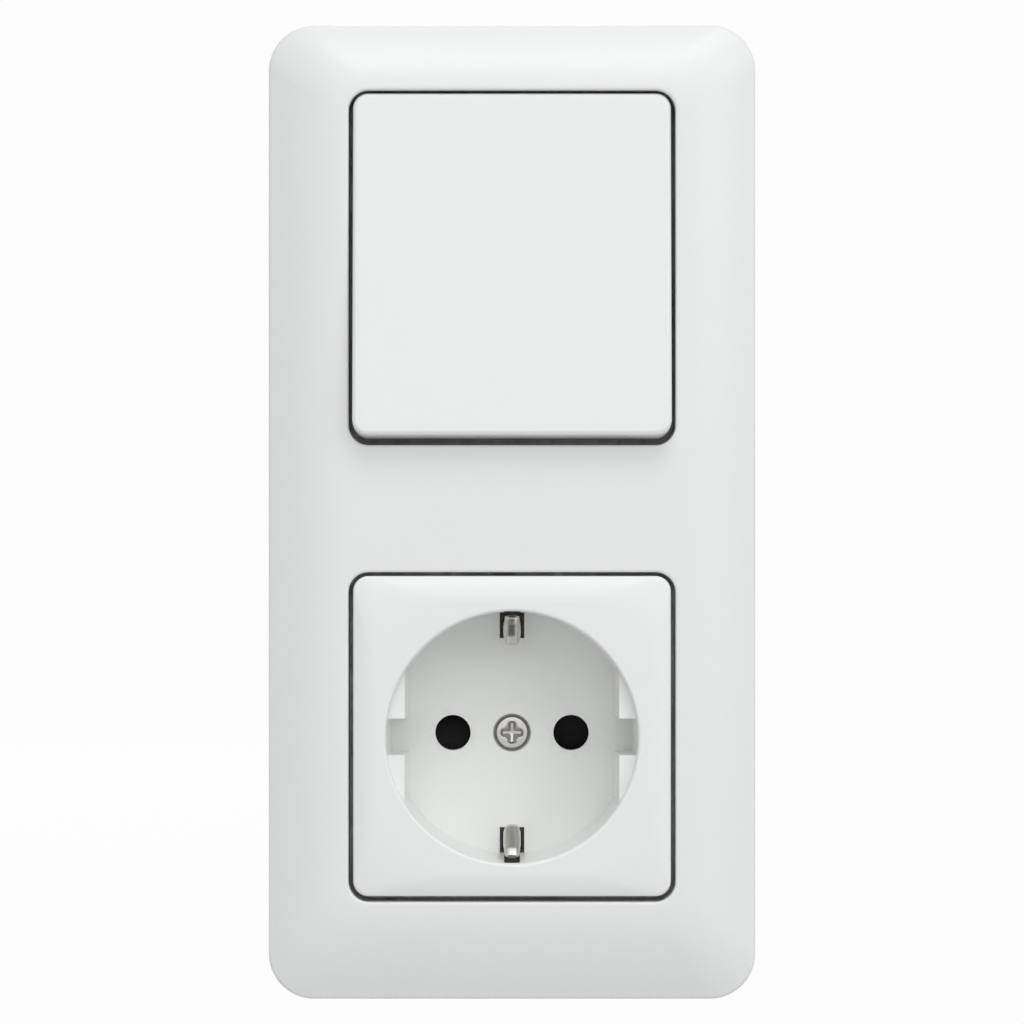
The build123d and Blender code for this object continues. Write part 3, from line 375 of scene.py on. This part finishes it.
def surface(name, grid, material, loop=False, sharp=35):
    """A closed mesh over a grid of points (rows, around, 3), joined around each row.

    The first and last rows are capped, or joined to each other where loop is true. Edges that
    bend by more than sharp degrees stay crisp.
    """
    rows, around = grid.shape[:2]
    index = np.arange(rows * around).reshape(rows, around)
    after = np.roll(index, -1, axis=1)
    if loop:
        low, low_after = index, after
        high, high_after = np.roll(index, -1, axis=0), np.roll(after, -1, axis=0)
    else:
        low, low_after = index[:-1], after[:-1]
        high, high_after = index[1:], after[1:]
    faces = np.stack([low, low_after, high_after, high], 2).reshape(-1, 4).tolist()
    if not loop:
        faces.append(index[0, ::-1].tolist())
        faces.append(index[-1].tolist())
    mesh = bpy.data.meshes.new(name)
    mesh.from_pydata(grid.reshape(-1, 3).tolist(), [], faces)
    mesh.shade_smooth()
    mesh.set_sharp_from_angle(angle=radians(sharp))
    mesh.materials.append(material)
    piece = bpy.data.objects.new(name, mesh)
    bpy.context.scene.collection.objects.link(piece)
    return piece


def tube(path, radius, around=12):
    """A round wire along a path: each row is path + radius (cos t normal + sin t binormal).

    The normal is the part of the path's pull away from its middle that is square to its run.
    """
    run = np.gradient(path, axis=0)
    run /= np.linalg.norm(run, axis=1)[:, None]
    pull = path - path.mean(0)
    normal = pull - (pull * run).sum(1)[:, None] * run
    normal /= np.linalg.norm(normal, axis=1)[:, None]
    binormal = np.cross(run, normal)
    turn = (2 * np.pi * np.arange(around) / around)[None, :, None]
    ring = np.cos(turn) * normal[:, None] + np.sin(turn) * binormal[:, None]
    return path[:, None] + radius * ring


def coil(radius, foot, head, turns, closed):
    """The middle line of a compression spring, as (beside, above, rise).

    The first two are radius cos a and radius sin a. The rise goes from foot to head, and only by
    closed over the first and the last turn, so that both ends lie flat.
    """
    turn = np.linspace(0, turns, turns * 40 + 1)
    bends = (0, 1, turns - 1, turns)
    rise = np.interp(turn, bends, (foot, foot + closed, head - closed, head))
    return radius * np.cos(2 * np.pi * turn), radius * np.sin(2 * np.pi * turn), rise


cap_plastic = finished(
    "cap_plastic",
    moulded,
    relief=5e-6,
    Colour=cap_white,
    Shade=frame_shade,
    Gloss=0.24,
    Grain=0.35,
    Tone=0.08,
    Marks=0.6,
)
carrier_acetal = finished(
    "carrier_acetal",
    moulded,
    relief=1e-5,
    Colour=acetal_grey,
    Shade=acetal_shade,
    Gloss=0.42,
    Grain=0.8,
    Tone=0.4,
    Marks=0.3,
)
dress(cap_plastic, "rocker_cap")
dress(carrier_acetal, "rocker_carrier")

# An edge counts as worn where its rounded normal leans away from the face, in chipped patches.
edges, given, result = new_group("worn_edges", {"Width": 0.0003, "Rub": 0.5}, ("Edge",))
bevel = edges.nodes.new("ShaderNodeBevel")
bevel.samples = 6
edges.links.new(given["Width"], bevel.inputs["Radius"])
geometry = edges.nodes.new("ShaderNodeNewGeometry")
meet = edges.nodes.new("ShaderNodeVectorMath")
meet.operation = "DOT_PRODUCT"
edges.links.new(bevel.outputs["Normal"], meet.inputs[0])
edges.links.new(geometry.outputs["Normal"], meet.inputs[1])
turned_away = remap(edges, meet.outputs["Value"], 0.80, 0.995, 1.0, 0.0)
chipped = remap(edges, noise(edges, given["Vector"], 700.0, 4.0, 0.5), 0.35, 0.62)
edges.links.new(product(edges, turned_away, chipped, given["Rub"]), result["Edge"])

worked, given, result = new_group(
    "worked_metal",
    {
        "Colour": (0.7, 0.7, 0.7),
        "Stain": (0.3, 0.3, 0.3),
        "Bare": (0.8, 0.8, 0.8),
        "Gloss": 0.25,
        "Lines": 0.5,
        "Cloud": 0.3,
        "Marks": 0.5,
        "Rub": 0.4,
    },
    ("Base Color", "Roughness", "Height"),
)
vector = given["Vector"]
rolled = noise(worked, stretched(worked, vector, (5200, 700, 130)), 1.0, 3.0)
cloud = noise(worked, vector, 420.0, 4.0, 0.5)
stain = remap(worked, noise(worked, vector, 150.0, 5.0, 1.0), 0.48, 0.78)
marks = place_group(worked, scuffs, vector, Amount=given["Marks"])
rim = place_group(worked, edges, vector, Width=wear_width, Rub=given["Rub"])["Edge"]
dull = product(worked, weighted_sum(worked, 0.0, (stain, 0.8), (cloud, 0.4)), given["Cloud"])
tint = blend_colours(worked, dull, given["Colour"], given["Stain"])
skin = ((cloud, 0.10), (stain, 0.10), (marks["Scratch"], 0.25), (rim, -0.06))
relief = ((cloud, 0.4), (marks["Scratch"], -0.5))
roll_lines = product(worked, rolled, given["Lines"])
worked.links.new(blend_colours(worked, rim, tint, given["Bare"]), result["Base Color"])
worked.links.new(weighted_sum(worked, given["Gloss"], *skin), result["Roughness"])
worked.links.new(weighted_sum(worked, roll_lines, *relief), result["Height"])

turned_brass = finished(
    "turned_brass",
    worked,
    relief=6e-6,
    metallic=1.0,
    Colour=brass_colour,
    Stain=brass_stain,
    Bare=brass_bare,
    Gloss=0.2,
    Lines=0.3,
    Cloud=0.5,
)
dress(turned_brass, "plunger")

music_wire = finished(
    "music_wire",
    worked,
    relief=4e-6,
    metallic=1.0,
    Colour=wire_colour,
    Stain=wire_stain,
    Gloss=0.24,
    Lines=0.8,
    Cloud=0.5,
)
beside, above, rise = coil(
    plunger_spring_radius,
    plunger_spring_foot,
    plunger_spring_head,
    plunger_spring_turns,
    plunger_spring_end,
)
coil_line = [
    beside,
    pivot_y - rise * np.cos(rocker_lean) + above * np.sin(rocker_lean),
    pivot_z + rise * np.sin(rocker_lean) + above * np.cos(rocker_lean),
]
coil_points = tube(np.stack(coil_line, 1), plunger_spring_wire)
spring = surface("plunger_spring_coil", coil_points / 1000, music_wire)
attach(spring, "rocker")
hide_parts("plunger_spring")

# The socket cover is one white moulding: a pillowed plate that sinks into the round recess. Plugs
# have rubbed it round both pin holes. A dark ring is painted round the centre screw, which holds
# it down: partly dust, partly painted shade in the countersink gap.
outlet_z = -0.0355
pin_place = 0.0095
pin_hole = 0.00285
screw_hole = 0.0029
dust_and_shade_width = 0.0003
cover_white = (0.882, 0.887, 0.866)
rubbed_grey = (0.50, 0.49, 0.47)
dust_and_shade_grey = (0.10, 0.095, 0.09)

# Ring fades from 1 at a hole's edge to 0 at its width beyond. Rub is the same ring in patches.
rubbed, given, result = new_group(
    "rubbed_ring",
    {"Centre X": 0.0, "Centre Z": 0.0, "Hole": 0.003, "Width": 0.0018},
    ("Rub", "Ring"),
)
parts = rubbed.nodes.new("ShaderNodeSeparateXYZ")
rubbed.links.new(given["Vector"], parts.inputs[0])
across = arithmetic(rubbed, "SUBTRACT", parts.outputs["X"], given["Centre X"])
along = arithmetic(rubbed, "SUBTRACT", parts.outputs["Z"], given["Centre Z"])
squares = [product(rubbed, side, side) for side in (across, along)]
reach = arithmetic(rubbed, "SQRT", arithmetic(rubbed, "ADD", *squares))
beyond = arithmetic(rubbed, "SUBTRACT", reach, given["Hole"])
ring = remap(rubbed, arithmetic(rubbed, "DIVIDE", beyond, given["Width"]), 0.0, 1.0, 1.0, 0.0)
worn = remap(rubbed, noise(rubbed, given["Vector"], 900.0, 4.0, 0.8), 0.42, 0.66)
rubbed.links.new(product(rubbed, ring, worn), result["Rub"])
rubbed.links.new(ring, result["Ring"])

cover_plastic = finished(
    "cover_plastic",
    moulded,
    relief=6e-6,
    Colour=cover_white,
    Shade=frame_shade,
    Gloss=0.28,
    Grain=0.4,
    Tone=0.10,
    Marks=0.45,
)
tree = cover_plastic.node_tree
place = tree.nodes.new("ShaderNodeTexCoord").outputs["Object"]
rings = [
    place_group(tree, rubbed, place, Centre_X=pin_x, Centre_Z=outlet_z, Hole=pin_hole)["Rub"]
    for pin_x in (-pin_place, pin_place)
]
rub = arithmetic(tree, "MAXIMUM", *rings)
# A dark ring round the screw hole: partly dust, partly painted shade of the countersink gap.
dust_and_shade_ring = place_group(tree, rubbed, place, Centre_Z=outlet_z, Hole=screw_hole, Width=dust_and_shade_width)
shader = tree.nodes["Principled BSDF"]
skin_colour = shader.inputs["Base Color"].links[0].from_socket
skin_rough = shader.inputs["Roughness"].links[0].from_socket
rub_colour = blend_colours(tree, product(tree, rub, 0.15), skin_colour, rubbed_grey)
dust_and_shade_colour = blend_colours(tree, product(tree, dust_and_shade_ring["Ring"], 0.55), rub_colour, dust_and_shade_grey)
tree.links.new(dust_and_shade_colour, shader.inputs["Base Color"])
tree.links.new(weighted_sum(tree, skin_rough, (rub, 0.25)), shader.inputs["Roughness"])
dress(cover_plastic, "socket_cover")

# The centre screw is nickel-plated steel, with a low domed head, a cross recess and a rolled
# thread. It goes through the cover and the earth bow into a brass bush in the base. Sizes in mm.
screw_colour = (0.54, 0.53, 0.51)
screw_stain = (0.20, 0.19, 0.18)
screw_seat = 7.5
screw_head = 2.65
screw_head_height = 0.95
screw_dome = 0.16
screw_radius = 1.5
screw_length = 12.0
screw_pitch = 0.5
cross_length = 1.92
cross_width = 0.76
cross_depth = 1.2


def smooth_step(value, start, end):
    """0 before start and 1 after end, with the curve 3 t^2 - 2 t^3 between."""
    share = np.clip((value - start) / (end - start), 0, 1)
    return share * share * (3 - 2 * share)


def cross_recess(across, along, half_length, half_width, depth):
    """Depth of a cross recess: two arms with sloping sides and rounded ends, deepest in the middle.

    It is depth (1 - 0.4 r / half_length) inside the arms, with a wider well where they meet.
    """
    reach = np.hypot(across, along)
    near = np.minimum(abs(across), abs(along))
    arms = 1 - smooth_step(near, half_width * 0.2, half_width * 1.05)
    arms = np.maximum(arms, 1 - smooth_step(reach, half_width * 0.5, half_width * 2.0))
    ends = 1 - smooth_step(reach, half_length * 0.75, half_length)
    return depth * arms * ends * (1 - 0.4 * reach / half_length)


def screw_points(head, height, dome, shank, length, pitch, recess, around=144):
    """Points (across, rise, along) of a screw turned about its rise axis, with its seat at rise 0.

    The head is a disc of that height, lowered by dome (r / head)^2 and by the recess's depth, with
    a quarter-round edge. The shank's radius is shank - 0.14 pitch (1 + cos(2 pi (rise / pitch -
    turn))), a rolled thread that fades out at both ends.
    """
    turn = np.arange(around) / around
    edge = 0.35 * height
    flat = np.concatenate(([0.004], np.linspace(0.02, 1, 56))) * (head - edge)
    bend = np.linspace(0, np.pi / 2, 8)[1:]
    radius = np.concatenate([flat, head - edge + edge * np.sin(bend), [head, shank]])
    drop = dome * (np.minimum(radius, head) / head) ** 2
    top = height - drop[: len(flat)]
    side = height - drop[len(flat) : -2] - edge * (1 - np.cos(bend))
    level = np.concatenate([top, side, [0, 0]])
    across = radius[:, None] * np.cos(2 * np.pi * turn)
    along = radius[:, None] * np.sin(2 * np.pi * turn)
    rise = np.repeat(level[:, None], around, axis=1)
    rise[: len(flat)] -= recess(across[: len(flat)], along[: len(flat)])
    head_grid = np.stack([across, rise, along], 2)
    down = np.arange(0.35 * pitch, length - 0.3 * pitch, pitch / 8)
    fade = np.minimum(1, np.minimum(down, length - down) / pitch)
    wave = 1 + np.cos(2 * np.pi * (-down[:, None] / pitch - turn))
    thread = shank - 0.14 * pitch * fade[:, None] * wave
    thread = np.vstack([thread, np.full(around, shank - 0.3 * pitch)])
    level = np.concatenate([-down, [-length]])[:, None] * np.ones(around)
    sides = [thread * np.cos(2 * np.pi * turn), level, thread * np.sin(2 * np.pi * turn)]
    return np.concatenate([head_grid, np.stack(sides, 2)])


screw_nickel = finished(
    "screw_nickel",
    worked,
    relief=6e-6,
    metallic=1.0,
    Colour=screw_colour,
    Stain=screw_stain,
    Gloss=0.24,
    Lines=0.2,
    Cloud=0.7,
    Marks=0.9,
)
points = screw_points(
    screw_head,
    screw_head_height,
    screw_dome,
    screw_radius,
    screw_length,
    screw_pitch,
    lambda across, along: cross_recess(across, along, cross_length, cross_width, cross_depth),
)
across, rise, along = np.moveaxis(points, 2, 0)
points = np.stack([across, screw_seat - rise, outlet_z * 1000 + along], 2)
screw = surface("centre_screw_turned", points[:, ::-1] / 1000, screw_nickel, sharp=40)
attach(screw, "root")
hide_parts("centre_screw")
dress(turned_brass, "centre_bush")

# The earth bow is one strip of nickel-plated spring steel. Each clip is crowned across its width,
# bulges into the recess and is rounded off at its free end. The upper clip has a dark reflection
# painted down its middle. An eye between the clips takes the screw. Sizes in mm, the painted
# reflection's in metres.
clip_colour = (0.70, 0.69, 0.67)
clip_stain = (0.30, 0.29, 0.27)
# The colour of the dark reflection painted down the upper clip's middle.
painted_reflection_colour = (0.09, 0.08, 0.07)
reflection_x = -0.0001
reflection_z = outlet_z + 0.0172
reflection_half_width = (0.0003, 0.0009)
reflection_half_length = (0.0012, 0.0017)
clip_sheet = 0.8
clip_step = 0.15
clip_points = [(19.0, 7.0), (17.9, 6.1), (14.5, 1.2), (17.6, -8.3), (17.6, -11.1), (4.3, -11.1)]
clip_bends = (2.0, 1.8, 1.8, 1.5)
clip_end = 0.5
eye_around = 96
eye_outside = 5.1
eye_inside = 3.45
eye_front = -10.7
eye_back = -11.5


def rounded_path(points, radii, step):
    """A polyline whose inner corners are rounded by parabolas, sampled evenly by length."""
    points = np.array(points, float)
    into = points[1:-1] - points[:-2]
    out = points[2:] - points[1:-1]
    into /= np.linalg.norm(into, axis=1)[:, None]
    out /= np.linalg.norm(out, axis=1)[:, None]
    cut = np.array(radii) * np.tan(np.arccos(np.clip((into * out).sum(1), -1, 1)) / 2)
    start = (points[1:-1] - into * cut[:, None])[:, None]
    end = (points[1:-1] + out * cut[:, None])[:, None]
    share = np.linspace(0, 1, 33)[None, :, None]
    middle = 2 * share * (1 - share) * points[1:-1, None]
    arcs = (1 - share) ** 2 * start + middle + share**2 * end
    line = np.vstack([points[:1], arcs.reshape(-1, 2), points[-1:]])
    lengths = np.linalg.norm(np.diff(line, axis=0), axis=1)
    run = np.concatenate(([0], np.cumsum(lengths)))
    even = np.linspace(0, run[-1], int(run[-1] / step) + 1)
    return np.stack([np.interp(even, run, line[:, side]) for side in (0, 1)], 1), even


def crowned_strip(line, widths, crowns, sheet, around=48):
    """Rows of a strip along a line of (along, height) points, as points (across, height, along).

    Each row is a flattened oval, across = w/2 sign(cos t) |cos t|^0.6 and out = s/2 sign(sin t)
    |sin t|^0.8, square to the line, whose edges fall back by crown (across / (w/2))^4.
    """
    run = np.gradient(line, axis=0)
    run /= np.linalg.norm(run, axis=1)[:, None]
    turn = 2 * np.pi * np.arange(around) / around
    share = np.sign(np.cos(turn)) * abs(np.cos(turn)) ** 0.6
    thick = np.sign(np.sin(turn)) * abs(np.sin(turn)) ** 0.8
    across = share * widths[:, None] / 2
    out = thick * sheet / 2 + crowns[:, None] * share**4
    along = line[:, :1] - run[:, 1:] * out
    height = line[:, 1:] + run[:, :1] * out
    return np.stack([across, height, along], 2)


clip_nickel = finished(
    "clip_nickel",
    worked,
    relief=8e-6,
    metallic=1.0,
    Colour=clip_colour,
    Stain=clip_stain,
    Gloss=0.20,
    Lines=0.5,
    Cloud=0.4,
    Marks=0.9,
)
tree = clip_nickel.node_tree
place = tree.nodes.new("ShaderNodeTexCoord").outputs["Object"]
parts = tree.nodes.new("ShaderNodeSeparateXYZ")
tree.links.new(place, parts.inputs[0])

# The painted dark reflection fades out between its two half widths and between its two half
# lengths.
aside = arithmetic(tree, "SUBTRACT", parts.outputs["X"], reflection_x)
beyond = arithmetic(tree, "SUBTRACT", parts.outputs["Z"], reflection_z)
narrow = remap(tree, arithmetic(tree, "ABSOLUTE", aside), *reflection_half_width, 1.0, 0.0)
short = remap(tree, arithmetic(tree, "ABSOLUTE", beyond), *reflection_half_length, 0.9, 0.0)
patchy = remap(tree, noise(tree, place, 700.0, 3.0, 0.5), 0.3, 0.6, 0.7, 1.0)
dark_reflection = product(tree, narrow, short, patchy)
shader = tree.nodes["Principled BSDF"]
plated = shader.inputs["Base Color"].links[0].from_socket
tree.links.new(blend_colours(tree, dark_reflection, plated, painted_reflection_colour), shader.inputs["Base Color"])

# From its free end the clip widens, narrows at the bulge and widens again towards its foot.
clip_line, run = rounded_path(clip_points, clip_bends, clip_step)
clip_width = 2.35 + 0.45 * smooth_step(run, 0.3, 3.5) - 0.4 * smooth_step(run, 4.5, 7.5)
clip_width += 0.4 * smooth_step(run, 9, 12)
clip_width *= np.sqrt(1 - (1 - np.clip(run / clip_end, 0.2, 1)) ** 2)
clip_crown = 0.42 * (1 - smooth_step(run, 8.0, 12.0)) * (clip_width / 2.8) ** 2
strip = crowned_strip(clip_line, clip_width, clip_crown, clip_sheet)
across, height, along = np.moveaxis(strip, 2, 0)
for label, side in (("upper_earth_clip", 1), ("lower_earth_clip", -1)):
    points = np.stack([side * across, -height, outlet_z * 1000 + side * along], 2)
    clip = surface(label, points[:, ::-1] / 1000, clip_nickel, sharp=60)
    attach(clip, "root")
    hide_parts("earth_bow")

turn = 2 * np.pi * np.arange(eye_around) / eye_around
eye_radius = np.array([eye_outside, eye_outside, eye_inside, eye_inside])[:, None]
eye_level = -np.array([eye_back, eye_front, eye_front, eye_back])[:, None] * np.ones(eye_around)
eye_up = outlet_z * 1000 + eye_radius * np.sin(turn)
eye = np.stack([eye_radius * np.cos(turn), eye_level, eye_up], 2)
eye_piece = surface("earth_bow_eye", eye / 1000, clip_nickel, loop=True)
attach(eye_piece, "root")
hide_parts("earth_bow")

# The shutter is one dark glass-filled moulding, dull all over, that turns behind the pin holes. A
# small wire spring pushes it back and is pressed together, towards its upper end, as it turns.
# Sizes in mm.
shutter_black = (0.006, 0.006, 0.006)
shutter_shade = (0.02, 0.02, 0.02)
shutter_specular = 0.1
return_spring_x = 8.6
return_spring_y = 9.5
return_spring_radius = 0.59
return_spring_wire = 0.16
return_spring_foot = -31.74
return_spring_head = -24.36
return_spring_turns = 6
return_spring_end = 0.36

shutter_plastic = finished(
    "shutter_plastic",
    moulded,
    relief=1.2e-5,
    Colour=shutter_black,
    Shade=shutter_shade,
    Gloss=0.62,
    Grain=0.9,
    Tone=0.6,
    Marks=0.8,
)
shader = shutter_plastic.node_tree.nodes["Principled BSDF"]
shader.inputs["Specular IOR Level"].default_value = shutter_specular
dress(shutter_plastic, "shutter")
beside, above, rise = coil(
    return_spring_radius,
    return_spring_foot,
    return_spring_head,
    return_spring_turns,
    return_spring_end,
)
coil_line = np.stack([return_spring_x + beside, return_spring_y + above, rise], 1)
coil_points = tube(coil_line, return_spring_wire)
return_spring = surface("shutter_return_spring", coil_points / 1000, music_wire)
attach(return_spring, "root")
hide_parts("shutter_spring")
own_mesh(return_spring)

# The switch insert is a light grey thermoset base with a bearing deck and a back plate. Fine glass
# fibres fleck its skin and the melt leaves flow streaks. Bent wire springs clamp the house wires.
switch_grey = (0.56, 0.57, 0.58)
deck_grey = (0.46, 0.47, 0.48)
deck_shade = (0.33, 0.33, 0.33)
moulded_edge = 0.0003

thermoset, given, result = new_group(
    "filled_thermoset",
    {
        "Colour": (0.6, 0.6, 0.6),
        "Fleck": (0.8, 0.8, 0.78),
        "Shade": (0.4, 0.4, 0.39),
        "Gloss": 0.5,
        "Rub": 0.5,
    },
    ("Base Color", "Roughness", "Height"),
)
vector = given["Vector"]
fibres = stretched(thermoset, vector, (2200, 1500, 520), (0, 35, 0))
fleck = remap(thermoset, noise(thermoset, fibres, 1.0, 2.0), 0.64, 0.74)
pore = remap(thermoset, noise(thermoset, vector, 2600.0, 1.0), 0.70, 0.78)
streaks = stretched(thermoset, vector, (90, 70, 40))
flow = remap(thermoset, noise(thermoset, streaks, 1.0, 6.0, 0.9), 0.38, 0.72)
rim = place_group(thermoset, edges, vector, Width=moulded_edge, Rub=given["Rub"])["Edge"]
tint = given["Colour"]
for mark, share in ((flow, 0.25), (pore, 0.5)):
    tint = blend_colours(thermoset, product(thermoset, mark, share), tint, given["Shade"])
light = weighted_sum(thermoset, 0.0, (fleck, 0.35), (rim, 0.45))
skin = ((flow, 0.10), (pore, 0.2), (fleck, -0.08), (rim, 0.15))
relief = ((fleck, 0.5), (pore, -1.0), (flow, 0.4))
thermoset.links.new(blend_colours(thermoset, light, tint, given["Fleck"]), result["Base Color"])
thermoset.links.new(weighted_sum(thermoset, given["Gloss"], *skin), result["Roughness"])
thermoset.links.new(weighted_sum(thermoset, 0.0, *relief), result["Height"])

switch_thermoset = finished(
    "switch_thermoset", thermoset, relief=1e-5, Colour=switch_grey, Gloss=0.46
)
deck_thermoset = finished(
    "deck_thermoset", thermoset, relief=1e-5, Colour=deck_grey, Shade=deck_shade, Gloss=0.44
)
dress(switch_thermoset, "switch_base", "switch_back_plate")
dress(deck_thermoset, "bearing_deck")
dress(music_wire, "wire_springs")

# The switch's contacts are stamped from brass strip: a cradle, a see-saw and two fixed springs.
# The strip shows its rolling lines and a little tarnish. Riveted silver tips make the connection.
strip_colour = (0.72, 0.50, 0.21)
silver_colour = (0.80, 0.79, 0.76)
silver_stain = (0.28, 0.24, 0.18)

stamped_brass = finished(
    "stamped_brass",
    worked,
    relief=8e-6,
    metallic=1.0,
    Colour=strip_colour,
    Stain=brass_stain,
    Bare=brass_bare,
    Gloss=0.26,
    Lines=0.9,
    Cloud=0.7,
    Marks=0.6,
    Rub=0.8,
)
contact_silver = finished(
    "contact_silver",
    worked,
    relief=6e-6,
    metallic=1.0,
    Colour=silver_colour,
    Stain=silver_stain,
    Gloss=0.22,
    Lines=0.2,
    Cloud=0.8,
    Marks=0.9,
)
dress(stamped_brass, "moving_contact", "common_contact")
dress(stamped_brass, "upper_fixed_contact", "lower_fixed_contact")
dress(contact_silver, "moving_contact_tips", "fixed_contact_tips")

# The socket base is a second thermoset moulding, closed by its own back plate. It is painted dark
# grey, as painted shade for what shows of it through the holes and gaps. It holds a split brass
# contact for each pin, pressed in from behind.
# Painted shade: the base's grey is darkened so its holes and gaps look shaded.
shaded_socket_grey = (0.13, 0.135, 0.14)
shaded_socket_fleck = (0.34, 0.34, 0.33)
socket_shade = (0.06, 0.06, 0.06)

shaded_socket_thermoset = finished(
    "shaded_socket_thermoset",
    thermoset,
    relief=1e-5,
    Colour=shaded_socket_grey,
    Fleck=shaded_socket_fleck,
    Shade=socket_shade,
    Gloss=0.56,
)
dress(shaded_socket_thermoset, "socket_base", "socket_back_plate")
dress(stamped_brass, "line_contact", "neutral_contact")

# Three solid brass terminals, sawn from drawn bar, take the live, neutral and earth wires. Each is
# tightened by a slotted nickel-plated screw that is reached from above. Their brass is painted
# dark, as painted shade for the terminals seen through the windows. Sizes in mm.
# Painted shade: the terminals' brass colours are darkened.
shaded_drawn_colour = (0.36, 0.26, 0.12)
shaded_drawn_stain = (0.10, 0.06, 0.025)
shaded_drawn_bare = (0.60, 0.46, 0.24)
terminal_places = ((-9.5, 17.0), (0.0, 15.5), (9.5, 17.0))
terminal_seat = -14.33
clamp_head = 2.1
clamp_head_height = 1.5
clamp_dome = 0.12
clamp_radius = 1.5
clamp_length = 5.0
clamp_pitch = 0.6
slot_reach = 2.2
slot_half_width = 0.3
slot_depth = 0.7


def slot_recess(across, along, half_length, half_width, depth):
    """Depth of a straight slot right across a head; half_length only says how far it runs."""
    inside = abs(across) < half_length
    return depth * inside * (1 - smooth_step(abs(along), half_width * 0.9, half_width * 1.1))


shaded_drawn_brass = finished(
    "shaded_drawn_brass",
    worked,
    relief=9e-6,
    metallic=1.0,
    Colour=shaded_drawn_colour,
    Stain=shaded_drawn_stain,
    Bare=shaded_drawn_bare,
    Gloss=0.48,
    Lines=1.2,
    Cloud=0.9,
    Marks=0.4,
    Rub=0.7,
)
dress(shaded_drawn_brass, "line_terminal", "neutral_terminal", "earth_terminal")
points = screw_points(
    clamp_head,
    clamp_head_height,
    clamp_dome,
    clamp_radius,
    clamp_length,
    clamp_pitch,
    lambda across, along: slot_recess(across, along, slot_reach, slot_half_width, slot_depth),
    around=96,
)
across, rise, along = np.moveaxis(points, 2, 0)
for label, (screw_x, screw_y) in zip(("live", "earth", "neutral"), terminal_places):
    placed = np.stack([screw_x - across, screw_y + along, terminal_seat + rise], 2)
    screw = surface(label + "_terminal_screw", placed / 1000, screw_nickel, sharp=40)
    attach(screw, "root")
    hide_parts("terminal_screws")

# Each gang hangs from a bracket stamped from zinc-plated sheet steel, which screws to the wall box
# through its slots. Rivets fix the inserts to the brackets. The plating is dull and crystalline.
# The upper bracket is a shaded copy of it, painted darker, and the lower one a lit copy, painted
# lighter.
# Shaded copy: painted shade for the upper bracket seen in the gaps round the rocker.
shaded_bracket_grey = (0.42, 0.42, 0.42)
shaded_bracket_dark = (0.26, 0.26, 0.265)
shaded_bracket_bare = (0.52, 0.52, 0.51)
# Lit copy: painted light for the lower bracket seen round the socket.
lit_bracket_grey = (0.60, 0.60, 0.595)
lit_bracket_dark = (0.41, 0.41, 0.41)
lit_bracket_bare = (0.70, 0.70, 0.69)
rivet_grey = (0.50, 0.50, 0.50)
rivet_dark = (0.30, 0.30, 0.30)

zinc, given, result = new_group(
    "zinc_plating",
    {
        "Colour": (0.5, 0.5, 0.5),
        "Dark": (0.3, 0.3, 0.3),
        "Bare": (0.6, 0.6, 0.6),
        "Gloss": 0.5,
        "Crystal": 700.0,
    },
    ("Base Color", "Roughness", "Height"),
)
vector = given["Vector"]
crystal = zinc.nodes.new("ShaderNodeTexVoronoi")
zinc.links.new(vector, crystal.inputs["Vector"])
zinc.links.new(given["Crystal"], crystal.inputs["Scale"])
shade = zinc.nodes.new("ShaderNodeSeparateColor")
zinc.links.new(crystal.outputs["Color"], shade.inputs[0])
bloom = remap(zinc, noise(zinc, vector, 90.0, 5.0, 0.8), 0.42, 0.72)
rolled = noise(zinc, stretched(zinc, vector, (160, 900, 4200)), 1.0, 2.0)
marks = place_group(zinc, scuffs, vector, Amount=0.9)
rim = place_group(zinc, edges, vector, Width=wear_width, Rub=0.7)["Edge"]
dull = weighted_sum(zinc, 0.0, (shade.outputs[0], 0.35), (bloom, 0.35))
tint = blend_colours(zinc, dull, given["Colour"], given["Dark"])
skin = ((shade.outputs[1], 0.10), (bloom, 0.10), (marks["Scratch"], -0.18), (rim, -0.12))
relief = ((rolled, 0.6), (shade.outputs[0], 0.3), (marks["Scratch"], -0.6))
zinc.links.new(blend_colours(zinc, rim, tint, given["Bare"]), result["Base Color"])
zinc.links.new(weighted_sum(zinc, given["Gloss"], *skin), result["Roughness"])
zinc.links.new(weighted_sum(zinc, 0.0, *relief), result["Height"])

shaded_bracket_zinc = finished(
    "shaded_bracket_zinc",
    zinc,
    relief=8e-6,
    metallic=1.0,
    Colour=shaded_bracket_grey,
    Dark=shaded_bracket_dark,
    Bare=shaded_bracket_bare,
    Gloss=0.54,
)
lit_bracket_zinc = finished(
    "lit_bracket_zinc",
    zinc,
    relief=8e-6,
    metallic=1.0,
    Colour=lit_bracket_grey,
    Dark=lit_bracket_dark,
    Bare=lit_bracket_bare,
    Gloss=0.50,
)
rivet_zinc = finished(
    "rivet_zinc",
    zinc,
    relief=6e-6,
    metallic=1.0,
    Colour=rivet_grey,
    Dark=rivet_dark,
    Gloss=0.38,
    Crystal=1600.0,
)
dress(shaded_bracket_zinc, "switch_bracket")
dress(lit_bracket_zinc, "socket_bracket")
dress(rivet_zinc, "switch_rivets", "socket_rivets")
